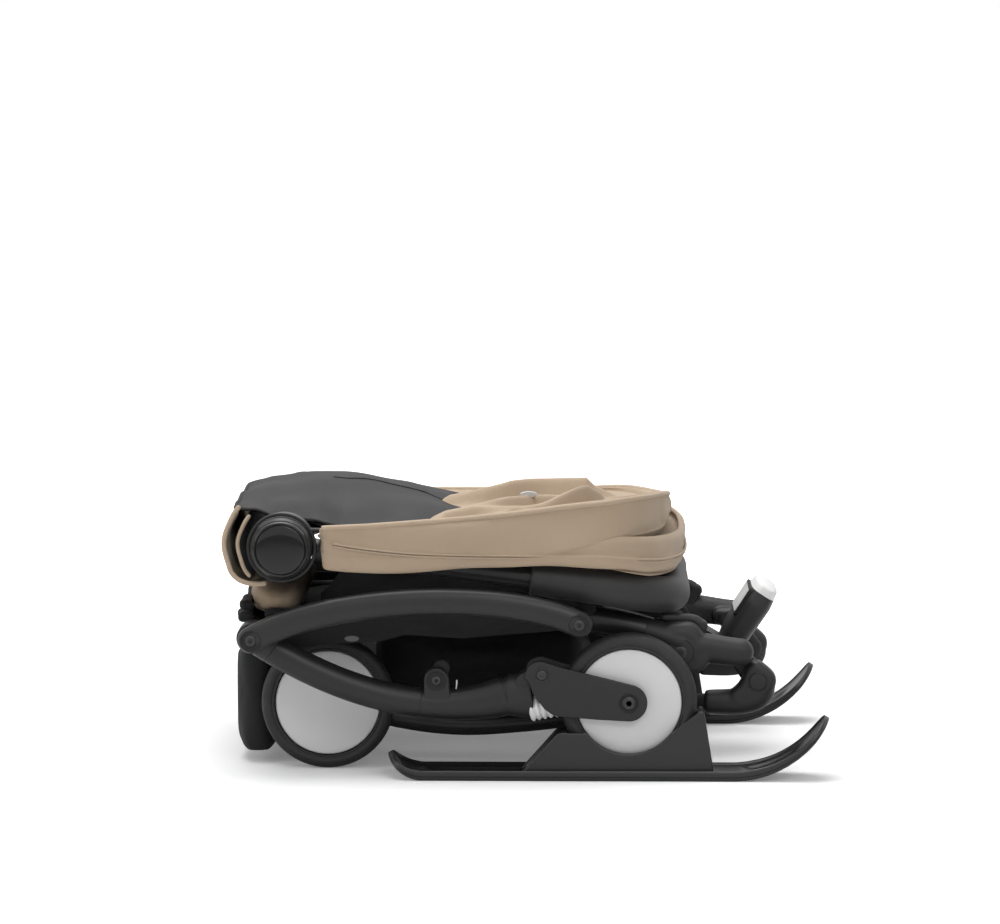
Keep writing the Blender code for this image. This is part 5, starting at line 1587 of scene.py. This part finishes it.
        def heights(x: Array, y: Array, rows: Array) -> Array:
            """Blend of underside, skirt edge and top."""
            return rows[:, 1:2] * self.under(x) + rows[:, 2:3] * self.skirt(x, y) + rows[:, 3:4] * self.crest(x)

        waves = [(0.0012, 17, 5.0, 0.3), (0.0008, 41, -7.0, 1.9), (0.0004, 96, 12.0, 4.0), (0.0002, 181, -5.0, 0.8)]
        rings = self.layer(rows, heights, waves)
        self.shop.make("canopy_lower_cloth", [rings], Finish.BEIGE, "canopy", Slot.BEIGE, ["canopy_lower"], sharp=75)
        outline, normal = self.plan()
        for number, (drop, radius) in enumerate(((0.0, 0.0012), (0.0028, 0.0010))):
            spot = outline + normal * (0.0002 - 0.0006 * number)
            line = np.column_stack([spot, self.seam(spot[:, 0]) - drop])[3:-3]
            cord = carried(through(line[::3], 420), ring(radius, 10), side=(0, 0, 1), start=radius, end=radius)
            self.shop.make(f"canopy_seam_{number}", [cord], Finish.PIPING, "canopy", Slot.BEIGE)

    def hood(self) -> None:
        """Upper layer: a basin of cloth with a piped rim."""
        rows = through([(0.070, -0.0090, 0, 0, 0), (0.014, -0.0090, 0, 0, 0), (0.0040, -0.0070, 0, 0.7, 0.1),
                        (-0.0004, -0.0020, 0, 1.0, 0.3), (-0.0012, 0, 0.03, 0.80, 0.8), (-0.0014, 0, 0.20, 0.25, 1),
                        (-0.0006, 0, 0.55, 0, 1), (0.0010, 0, 0.88, 0, 0.5), (0.0032, 0, 1.0, 0, 0.2),
                        (0.0056, 0, 0.94, 0, 0.3), (0.0082, 0, 0.66, 0, 0.8), (0.0102, 0, 0.28, 0, 0.8),
                        (0.0160, 0.0020, 0, 0, 0.2), (0.0700, 0.0020, 0, 0, 0)], 110)

        def heights(x: Array, y: Array, rows: Array) -> Array:
            """Floor plus a share of the wall, less a share of the way down to the seam where the wall hangs over."""
            hang = (self.floor - 0.0020 - self.seam(x)) * self.closed(x, y) * np.clip((0.110 - x) / 0.090, 0,
                                                                                      1) ** 1.3
            return self.floor + rows[:, 1:2] + rows[:, 2:3] * (self.rim(x, y) - self.floor) - rows[:, 3:4] * hang

        waves = [(0.0019, 15, 8.0, 2.3), (0.0010, 37, -9.0, 0.4), (0.0005, 88, 10.0, 3.0), (0.0002, 170, 7.0, 1.8)]
        squeeze = (self.rear - 0.018 - self.front) / (self.rear - self.front)
        rings = self.layer(rows, heights, waves, squeeze)
        self.shop.make("canopy_hood_cloth", [rings], Finish.BEIGE, "canopy", Slot.BEIGE, ["canopy_hood"], sharp=75)
        self.piping("canopy_rim", rings, int(np.argmax(rows[:, 2] > 0.90)), 0.0027, Finish.PIPING, trim=(1, -38))

    def lining(self) -> None:
        """Crumpled lining: folds as ridges on slanting lines, steep on the near side, joined by a smooth maximum.

        Each ridge is h(x) exp(-(u / w)^2), u the distance in y from its line and w 12 mm on the
        near side and 45 mm on the far one; the top is ln(sum exp(k h)) / k.
        """
        x = np.linspace(-0.100, 0.114, 150)[:, None]
        share = (x - x[0]) / (x[-1] - x[0])
        half = 0.186 - 0.072 * share ** 4
        side = np.linspace(-1, 1, 170)[None]
        y = half * side
        ridges = [((-0.120, -0.165), (-0.02, -0.120), [(-0.13, 0.0), (-0.12, 0.004), (-0.08, 0.016), (-0.053, 0.020),
                                                       (-0.01, 0.016), (0.04, 0.006)]),
                  ((-0.091, -0.140), (0.005, -0.050),
                   [(-0.12, 0.002), (-0.091, 0.011), (-0.057, 0.016), (-0.02, 0.021),
                                                       (0.005, 0.0215), (0.05, 0.014), (0.08, 0.004)]),
                  ((-0.052, -0.170), (0.060, -0.030),
                   [(-0.08, 0.003), (-0.052, 0.009), (-0.015, 0.014), (0.015, 0.018),
                                                       (0.030, 0.022), (0.052, 0.0275), (0.060, 0.0282),
                    (0.072, 0.020),
                                                       (0.078, 0.010), (0.09, 0.004)]),
                  ((-0.050, 0.010), (0.060, 0.060),
                   [(-0.10, 0.010), (-0.084, 0.014), (-0.057, 0.020), (-0.018, 0.0280),
                                                     (0.058, 0.0285), (0.066, 0.020), (0.09, 0.006)]),
                  ((0.020, -0.120), (0.110, -0.060), [(-0.02, 0.004), (0.03, 0.010), (0.07, 0.015), (0.11, 0.017)])]
        sum_of = np.zeros((len(x), side.shape[1]))
        steep = 420.0
        for (x0, y0), (x1, y1), crest in ridges:
            line = y0 + (y1 - y0) * (x - x0) / (x1 - x0) + 0.006 * np.sin(x * 55 + y0 * 90)
            height = np.interp(x[:, 0], *np.array(crest).T)[:, None]
            off = y - line
            bump = np.exp(-(off / np.where(off < 0, 0.011, 0.040)) ** 2)
            sum_of = sum_of + np.exp(steep * height * bump)
        height = (np.log(sum_of) - math.log(len(ridges))) / steep
        edge = (1 - np.abs(side) ** 10) * np.clip(share / 0.10, 0, 1) ** 0.5 * np.clip((1 - share) / 0.05, 0,
                                                                                       1) ** 0.5
        crumple = ripple(x, y, [(0.0006, 70, 31, 0), (0.0005, -44, 85, 1.2), (0.0003, 150, -120, 2.0)])
        height = (0.0035 + height + crumple) * edge
        base = self.floor + 0.0022
        upper = np.stack([np.broadcast_to(x, y.shape), y, base + 0.0004 + height], axis=2)
        under = np.linspace(0.98, -0.98, 24)[None] * half
        lower = np.stack([np.broadcast_to(x, under.shape), under, np.full(under.shape, base)], axis=2)
        self.shop.make("canopy_lining", [np.concatenate([upper, lower], axis=1)], Finish.BEIGE, "canopy", Slot.BEIGE,
                       ["canopy_folds"], sharp=80)
        angle = np.linspace(0, 2 * np.pi, 48, endpoint=False)
        lens = [np.stack([0.001 + 0.0085 * r * np.cos(angle), -0.052 - d * np.ones(48),
                          0.2606 + 0.0030 * r * np.sin(angle)],
                         axis=1) for r,
                d in ((1.0, -0.002), (1.0, 0.0012), (0.86, 0.0018), (0.80, 0.0014), (0.3, 0.0017))]
        self.shop.make("canopy_window", [np.array(lens)], Finish.LABEL, "canopy", Slot.BEIGE)

    def panel(self) -> None:
        """Black rear panel: a sheet that rises from the near rim to a crest, with piped edges and a seam.

        Its height is z = u(x) + t(x) g(s), u the underside, t the crest's height over it, and
        g a smooth curve of the place s across it, from -1 at the near edge to 1 at the far one.
        """
        x = np.linspace(-0.2865, -0.0560, 130)[:, None]
        near = np.interp(x, [-0.2865, -0.272, -0.203, -0.180, -0.110, -0.056],
                         [0.120, 0.1400, 0.140, 0.186, 0.188, 0.150])
        far = np.interp(x, [-0.2865, -0.262, -0.10, -0.056], [0.100, 0.1345, 0.134, 0.090])
        side = np.linspace(-1, 1, 130)[None]
        y = (far + near) / 2 * side + (far - near) / 2
        floor = np.interp(x, [-0.2865, -0.262, -0.245, -0.200], [0.2528, 0.2520, 0.2440, 0.2400])
        crest = self.read(x, [(-0.2865, 0.2550), (-0.2760, 0.2612), (-0.247, 0.2672), (-0.188, 0.2710),
                              (-0.1277, 0.2630),
                              (-0.090, 0.2530), (-0.072, 0.2475), (-0.056, 0.2450)])
        swell = self.read(side, [(-1.0, 0.05), (-0.85, 0.24), (-0.6, 0.52), (-0.2, 0.84), (0.3, 1.0), (0.6, 0.98),
                                 (0.9, 0.7),
                                 (1.0, 0.3)])
        dents = ripple(x, side, [(0.0011, 38, 3.0, 0.4), (0.0010, -25, 8.0, 2.0), (0.0005, 120, 4.0, 1.0)])
        tuck = 0.0022 * np.sin(x * 105 + 1.0) * np.exp(-((side + 0.80) / 0.22) ** 2)
        height = (crest - floor - 0.0012) * swell + (dents + tuck) * (1 - np.abs(side) ** 8)
        upper = np.stack([np.broadcast_to(x, y.shape), y, floor + 0.0012 + np.maximum(height, 0.0)], axis=2)
        line = np.linspace(0.97, -0.97, 30)[None]
        under = (far + near) / 2 * line + (far - near) / 2
        lower = np.stack([np.broadcast_to(x, under.shape), under, np.broadcast_to(floor, under.shape)], axis=2)
        self.shop.make("canopy_panel_cloth", [np.concatenate([upper, lower], axis=1)], Finish.PANEL, "canopy",
                       Slot.BLACK, ["canopy_panel"], sharp=70)
        border = np.vstack([upper[::-4, 1], upper[1, 2:-2:4], upper[::4, -2]])
        cord = through(border + (0, 0, 0.0004), 300)
        self.shop.make("canopy_panel_piping",
                       [carried(cord, ring(0.0017, 12), side=(0, 0, 1), start=0.0015, end=0.0015)],
                       Finish.PANEL, "canopy", Slot.BLACK)
        strip = through(upper[52:126:4, 76] + (0, 0, 0.0003), 160)
        profile = ring(1.0, 16, 4)[None] * np.array([0.0007, 0.0022])
        self.shop.make("canopy_panel_seam", [carried(strip, profile, side=(0, 0, 1), start=0.001, end=0.001)],
                       Finish.PANEL, "canopy", Slot.BLACK)

    def roll(self) -> None:
        """Rear skirt folded round the front of the hubs: nested sheets, each a band round the hub's axis.

        A sheet starts at 137 degrees at its near end and further round under the panel. The inner sheet's black cloth
        is painted shade, darkening the inside of the roll.
        """
        half = 0.1965
        y = np.linspace(-half, half, 150)[:, None]
        # the inner sheet is black cloth that stands for the shade inside the roll: painted shade
        sheets = (("canopy_roll_outer", 0.0574, 0.0030, 0, 246, Finish.BEIGE, 1.0),
                  ("canopy_roll_inner", 0.0440, 0.0026, 0, 222, Finish.PANEL, 0.8))
        for name, outer, thick, late, end, finish, share in sheets:
            start = late + np.interp(y, [-half, -0.165, -0.10, 0.0, half], [137, 148, 153, 155, 162])
            angle = start + (end - start) * np.linspace(0, 1, 70)[None]
            a = np.radians(angle)
            fall = np.clip((angle - 205) / 40, 0, 1) ** 1.5
            wave = ripple(y, a, [(0.0010, 36, 1.5, 0.3), (0.0006, 83, -3, 1.0), (0.0005, 15, 9, 2.2)]) * share
            radius = outer + wave - 0.017 * fall * (outer > 0.05)
            inner = radius - thick
            bands = [(radius, a), (inner[:, ::-1], a[:, ::-1])]
            points = [np.stack([self.hub[0] + r * np.cos(b), np.broadcast_to(y * share ** 0.02, r.shape),
                                self.hub[1] + r * np.sin(b)], axis=2) for r, b in bands]
            stand = ["canopy_roll"] if share == 1.0 else []
            sheet = Patch(np.concatenate(points, axis=1), polygon=True)
            self.shop.make(name, [sheet], finish, "handle", Slot.BEIGE, stand, sharp=60)
            for word, row in (("near", 0), ("far", -1)):
                hem = points[0][row] * 0.5 + points[1][row][::-1] * 0.5
                cord = through(hem[::2], 90)
                self.shop.make(f"{name}_hem_{word}",
                               [carried(cord, ring(0.0024 * share, 12), start=0.002, end=0.002)],
                               Finish.PIPING, "handle", Slot.BEIGE)

    def bows(self) -> None:
        """Sliding ring round each barrel, and the wire that enters the canopy."""
        for side in Side:
            s = side.value
            shape = rounded([(0.0306, s * 0.1955), (0.0338, s * 0.1955), (0.0338, s * 0.2005), (0.0306, s * 0.2005),
                             (0.0306, s * 0.1955)], 0.0008)
            hoop = Patch(turned(self.hub, shape, 72), caps=False, loop=True)
            start = np.array(self.hub) + 0.0322 * np.array((math.cos(math.radians(32)), math.sin(math.radians(32))))
            rod = flat(np.stack([np.linspace(start[0], -0.1926, 8), np.full(8, start[1])], 1), s * 0.198)
            self.shop.make(f"canopy_bow_{side.word}_wire", [hoop, carried(rod, ring(0.0022, 20))], Finish.MOULDING,
                           "canopy", Slot.STEEL, [f"canopy_bow_{side.word}"])

    def make(self) -> None:
        """Build the canopy."""
        for step in (self.lower, self.hood, self.lining, self.panel, self.roll, self.bows):
            step()


@dataclass
class SeatGoods:
    """Seat sling and its rolled front edge, straps, backrest, basket and calf rest."""

    shop: Workshop
    soft: Softener

    def box(self, low: Sequence[float], high: Sequence[float], power: float = 7.0, count: int = 48) -> Array:
        """Soft box: superellipse sections across x, each shrunk by (1 - |s|^p)^(1/p)."""
        low, high = np.asarray(low, dtype=float), np.asarray(high, dtype=float)
        middle, half = (low + high) / 2, (high - low) / 2
        s = np.sin(np.linspace(-np.pi / 2, np.pi / 2, 26))
        s = s * 0.9985
        waist = (1 - np.abs(s) ** power) ** (1 / power)
        shape = ring(1.0, count, power)[None] * waist[:, None, None]
        return np.stack([np.broadcast_to(middle[0] + half[0] * s[:, None], shape.shape[:2]),
                         middle[1] + half[1] * shape[..., 0], middle[2] + half[2] * shape[..., 1]], axis=2)

    def pad(self, name: str, low: Sequence[float], high: Sequence[float], finish: Finish, slot: Slot, node: str,
            fill: float, power: float = 7.0) -> None:
        """Pad blown up inside a box from a form 2 mm smaller."""
        slack = 0.002
        rings = self.box(np.asarray(low) + slack, np.asarray(high) - slack, power)
        piece = self.shop.build(name, [rings], finish)
        self.soft.puff(piece, fill=fill, cap=0.005)
        self.shop.fit(piece, "seat_frame", slot, [node])

    def sling(self) -> None:
        """Seat cloth between the seat bars, sagging as sin(pi x) (1 - y^2), gathered along both bars."""
        x = np.linspace(-0.248, -0.014, 90)[:, None]
        side = np.linspace(-1, 1, 90)[None]
        line = 0.141 + 0.011 * (x + 0.264) / 0.316
        sag = 0.012 * np.sin(np.pi * (x + 0.248) / 0.234) * (1 - side ** 2) + 0.002 * (1 - side ** 2)
        gather = 0.0006 * np.sin(x * 260) * np.abs(side) ** 4 + ripple(x, side,
                                                                       [(0.0008, 30, 5, 0.4), (0.0005, 75, -4, 2)])
        y = 0.1424 * side * np.ones_like(x)
        faces = [np.stack([np.broadcast_to(x, y.shape), y, line - sag + gather + lift], axis=2) for lift in (0.0030,
                                                                                                             -0.0030)]
        rings = np.concatenate([faces[0], faces[1][:, ::-1]], axis=1)
        self.shop.make("seat_sling_cloth", [rings], Finish.BLACK, "seat_frame", Slot.BLACK, ["seat_sling"])

    def straps(self) -> None:
        """Black webbing gathered before the seat's front edge: four soft rolls along Y, each waving in x and z."""
        y = np.linspace(-0.156, 0.156, 120)
        for number, (x, z, radius) in enumerate(((-0.2715, 0.1625, 0.0062), (-0.2735, 0.1500, 0.0070),
                                                 (-0.2640, 0.1425, 0.0066), (-0.2450, 0.1535, 0.0105))):
            wave = ripple(y, y, [(0.0014, 60 + 13 * number, 0, number), (0.0008, 140, 0, 2.0 * number)])
            path = np.column_stack([x + wave, y, z + ripple(y, y, [(0.0012, 45, 0, 1.0 + number)])])
            size = radius * (1 + 0.10 * np.sin(y * 150 + number))
            profile = ring(1.0, 28, 2.6)[None] * np.stack([size, size * 0.72], 1)[:, None]
            self.shop.make(f"seat_strap_{number}", [carried(path, profile, side=(1, 0, 0), start=0.004, end=0.004)],
                           Finish.BLACK, "seat_frame", Slot.BLACK)

    def wings(self) -> None:
        """Black side cloth of the seat back, gathered beside each back arm.

        Each is a sheet 3 mm thick in (x, z), with y = 0.1415 + w(x, z).
        """
        x = np.linspace(-0.200, 0.064, 110)[:, None]
        level = np.linspace(0, 1, 30)[None]
        low = np.interp(x, [-0.200, -0.150, -0.060, 0.034, 0.064], [0.158, 0.1600, 0.1620, 0.1650, 0.1675])
        high = np.interp(x, [-0.200, -0.190, -0.182, -0.176, -0.173, -0.100, 0.034, 0.064],
                         [0.1735, 0.1825, 0.1935, 0.2050, 0.2075, 0.2030, 0.1890, 0.1860])
        z = low + (high - low) * level
        fold = ripple(x, level, [(0.0013, 55, 5.0, 0.2), (0.0008, 117, -8.0, 1.3)])
        for side in Side:
            faces = [np.stack([np.broadcast_to(x, z.shape), side.value * (0.1415 + fold + lift), z], axis=2)
                     for lift in (0.0015, -0.0015)]
            rings = np.concatenate([faces[0], faces[1][:, ::-1]], axis=1)
            self.shop.make(f"seat_wing_{side.word}", [rings], Finish.BLACK, "back_frame", Slot.BLACK)
            self.valance(side)

    def valance(self, side: Side) -> None:
        """Black cloth hanging from a seat bar, 3 mm thick, with its small grey badge, and the tuck behind it."""
        x = np.linspace(-0.246, 0.036, 140)[:, None]
        level = np.linspace(0, 1, 24)[None]
        low = np.interp(x, [-0.246, -0.230, -0.180, -0.140, -0.118, -0.06, 0.036],
                        [0.128, 0.1210, 0.1265, 0.1290, 0.1350, 0.1320, 0.1400])
        z = low + (0.157 - low) * level
        fold = ripple(x, level, [(0.0012, 70, 4.0, 0.2), (0.0006, 150, -6.0, 1.0)]) * (1 - level)
        faces = [np.stack([np.broadcast_to(x, z.shape), side.value * (0.1635 + fold + lift), z], axis=2)
                 for lift in (0.0015, -0.0015)]
        rings = np.concatenate([faces[0], faces[1][:, ::-1]], axis=1)
        self.shop.make(f"seat_valance_{side.word}", [rings], Finish.BLACK, "seat_frame", Slot.BLACK)
        tuck = through([(0.018, 0.152), (0.022, 0.172), (0.040, 0.1735), (0.062, 0.1700), (0.067, 0.158),
                        (0.045, 0.150)],
                       60, closed=True)
        self.shop.make(f"seat_tuck_{side.word}",
                       [plate(tuck, *sorted((side.value * 0.1652, side.value * 0.1682)), 0.0010)],
                       Finish.BLACK, "seat_frame", Slot.BLACK)
        badge = arc((0.0, 0.0), 1.0, 0, 352, 40) * (0.0072, 0.0030) + (-0.169, 0.1315)
        low_y, high_y = sorted((side.value * 0.1640, side.value * 0.1668))
        self.shop.make(f"seat_badge_{side.word}", [plate(badge, low_y, high_y, 0.0006)], Finish.BADGE, "seat_frame",
                       Slot.BLACK)

    def backrest(self) -> None:
        """Quilted back pad along the line of the back arms."""
        hinge, hub = np.array((0.150, 0.118)), np.array((-0.235, 0.224))
        length = float(np.linalg.norm(hub - hinge))
        heading = (hub - hinge) / length
        up = np.array((-heading[1], heading[0])) * (1 if heading[0] > 0 else -1)
        rings = self.box((0.127, -0.1145, -0.0062), (length - 0.052, 0.1145, 0.0072), 4.0, 96)
        along, lift = rings[..., 0], rings[..., 2]
        lift = lift * (1 - 0.22 * np.cos((along - 0.125) / 0.224 * 8 * np.pi) ** 8)
        spot = hinge + heading * along[..., None] + up * lift[..., None]
        piece = self.shop.build("backrest_cloth", [np.stack([spot[..., 0], rings[..., 1], spot[..., 1]], axis=2)],
                                Finish.PAD)
        self.soft.puff(piece, voxel=0.004, fill=0.5, cap=0.002)
        self.shop.fit(piece, "back_frame", Slot.BLACK, ["backrest_pad"])

    def make(self) -> None:
        """Build the seat's soft parts."""
        for step in (self.sling, self.straps, self.wings, self.backrest):
            step()
        self.pad("seat_front_pad", (-0.2755, -0.158, 0.1480), (-0.2150, 0.158, 0.1850), Finish.BEIGE_PAD, Slot.BEIGE,
                 "seat_front_roll", 0.5, 3.5)
        self.pad("basket_cloth", (-0.150, -0.078, 0.0640), (0.060, 0.078, 0.1332), Finish.PAD, Slot.BLACK, "basket",
                 0.3)
        self.pad("calf_rest_cloth", (-0.2835, -0.116, 0.0045), (-0.2475, 0.116, 0.1274), Finish.PAD, Slot.BLACK,
                 "calf_rest", 0.6)


@dataclass
class Studio:
    """White floor and soft light of a product photograph, and the camera."""

    level: float = 1.0

    def area(self, name: str, place: Sequence[float], target: Sequence[float], size: Point, power: float) -> None:
        """Add one rectangular light aimed at a point."""
        lamp = bpy.data.lights.new(name, "AREA")
        lamp.shape = "RECTANGLE"
        lamp.size, lamp.size_y = size
        lamp.energy = power * self.level
        holder = bpy.data.objects.new(name, lamp)
        bpy.context.scene.collection.objects.link(holder)
        holder.location = place
        aim = Vector(target) - Vector(place)
        holder.rotation_euler = aim.to_track_quat("-Z", "Y").to_euler()

    def floor(self) -> None:
        """Large plane that shows white but keeps the shadow beneath the stroller."""
        g = Graph("floor")
        x, y, _ = g.axes(g.place())
        far = (x * x + y * y) ** 0.5
        seen = g.node("ShaderNodeLightPath", output="Is Camera Ray")
        glow = far.ramp(0.45, 1.6) * 0.9 + 0.16
        light = g.mix(seen * glow, (0.0, 0.0, 0.0, 1.0), (1.0, 1.0, 1.0, 1.0))
        grain = g.noise(g.place(), 0.4, 2.0)
        material = g.surface(g.mix(grain, grey(0.84), grey(0.86)), 0.75, fixed={"Emission Color": light,
                                                                              "Emission Strength": 1.0})
        half = 60.0
        data = bpy.data.meshes.new("floor")
        data.from_pydata([(-half, -half, 0), (half, -half, 0), (half, half, 0), (-half, half, 0)], [], [(0, 1, 2, 3)])
        data.materials.append(material)
        plane = bpy.data.objects.new("floor", data)
        bpy.context.scene.collection.objects.link(plane)

    def world(self) -> None:
        """White to the camera and to clear reflections; plain soft light to everything else."""
        world = bpy.data.worlds.new("studio")
        world.use_nodes = True
        tree = world.node_tree
        tree.nodes.clear()
        path = tree.nodes.new("ShaderNodeLightPath")
        total = None
        for name in ("Is Camera Ray", "Is Glossy Ray", "Is Transmission Ray"):
            if total is None:
                total = path.outputs[name]
                continue
            add = tree.nodes.new("ShaderNodeMath")
            add.operation = "ADD"
            add.use_clamp = True
            tree.links.new(total, add.inputs[0])
            tree.links.new(path.outputs[name], add.inputs[1])
            total = add.outputs[0]
        soft = tree.nodes.new("ShaderNodeBackground")
        soft.inputs["Color"].default_value = (0.98, 0.99, 1.0, 1.0)
        soft.inputs["Strength"].default_value = 0.40
        white = tree.nodes.new("ShaderNodeBackground")
        white.inputs["Color"].default_value = (1.0, 1.0, 1.0, 1.0)
        white.inputs["Strength"].default_value = 1.0
        blend = tree.nodes.new("ShaderNodeMixShader")
        output = tree.nodes.new("ShaderNodeOutputWorld")
        tree.links.new(total, blend.inputs[0])
        tree.links.new(soft.outputs[0], blend.inputs[1])
        tree.links.new(white.outputs[0], blend.inputs[2])
        tree.links.new(blend.outputs[0], output.inputs[0])
        bpy.context.scene.world = world

    def camera(self) -> None:
        """Long lens at the photograph's place, looking 5.7 degrees down and 1.1 degrees to the left of +Y."""
        lens = bpy.data.cameras.new("camera")
        lens.sensor_width = 36.0
        lens.lens = 186.8
        lens.clip_end = 200.0
        holder = bpy.data.objects.new("camera", lens)
        bpy.context.scene.collection.objects.link(holder)
        holder.location = (0.0708, -5.1596, 0.80)
        holder.rotation_euler = (math.radians(84.33), 0.0, math.radians(1.1))
        bpy.context.scene.camera = holder
        bpy.context.scene.view_settings.view_transform = "Standard"

    def make(self) -> None:
        """Set up the studio."""
        self.world()
        self.floor()
        self.area("key", (-0.2, 0.1, 2.0), (0, 0, 0.1), (1.9, 1.5), 45)
        self.area("front", (0.9, -2.6, 1.9), (0, 0, 0.12), (1.8, 1.1), 21)
        self.area("left", (-2.4, -1.0, 1.2), (0, 0, 0.12), (1.2, 1.0), 12)
        self.camera()


def strap_buckle(shop: Workshop) -> None:
    """Small buckle behind the near saddle, on the far ski."""
    outline = capsule((0.1955, 0.0215), (0.2030, 0.0250), 0.0048, count=36)
    strap = capsule((0.1760, 0.0085), (0.1960, 0.0190), 0.0018, count=24)
    shop.make("ski_buckle", [plate(outline, 0.1515, 0.1585, 0.0012), plate(strap, 0.1510, 0.1600, 0.0004)],
              Finish.MOULDING,
              "ski_wheel_right", Slot.MOULDING)


def main() -> None:
    """Build the dressed stroller from its outer frame inwards, then the studio."""
    logging.basicConfig(level=logging.INFO, format="%(message)s")
    for item in list(bpy.data.objects):
        bpy.data.objects.remove(item, do_unlink=True)
    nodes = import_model()["nodes"]
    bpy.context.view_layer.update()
    shop = Workshop(nodes)
    soft = Softener(shop)
    for side in Side:
        SideFrame(shop, side).make()
        FrontWheel(shop, side).make()
        RearFrame(shop, soft, side).make()
    CrossMembers(shop, soft).make()
    Handle(shop).make()
    Canopy(shop).make()
    SeatGoods(shop, soft).make()
    shop.dress([f"{name}_{side.word}" for name in ("suspension_pin", "front_axle") for side in Side], Finish.BOLT)
    strap_buckle(shop)
    Studio().make()


if __name__ == "__main__":
    main()
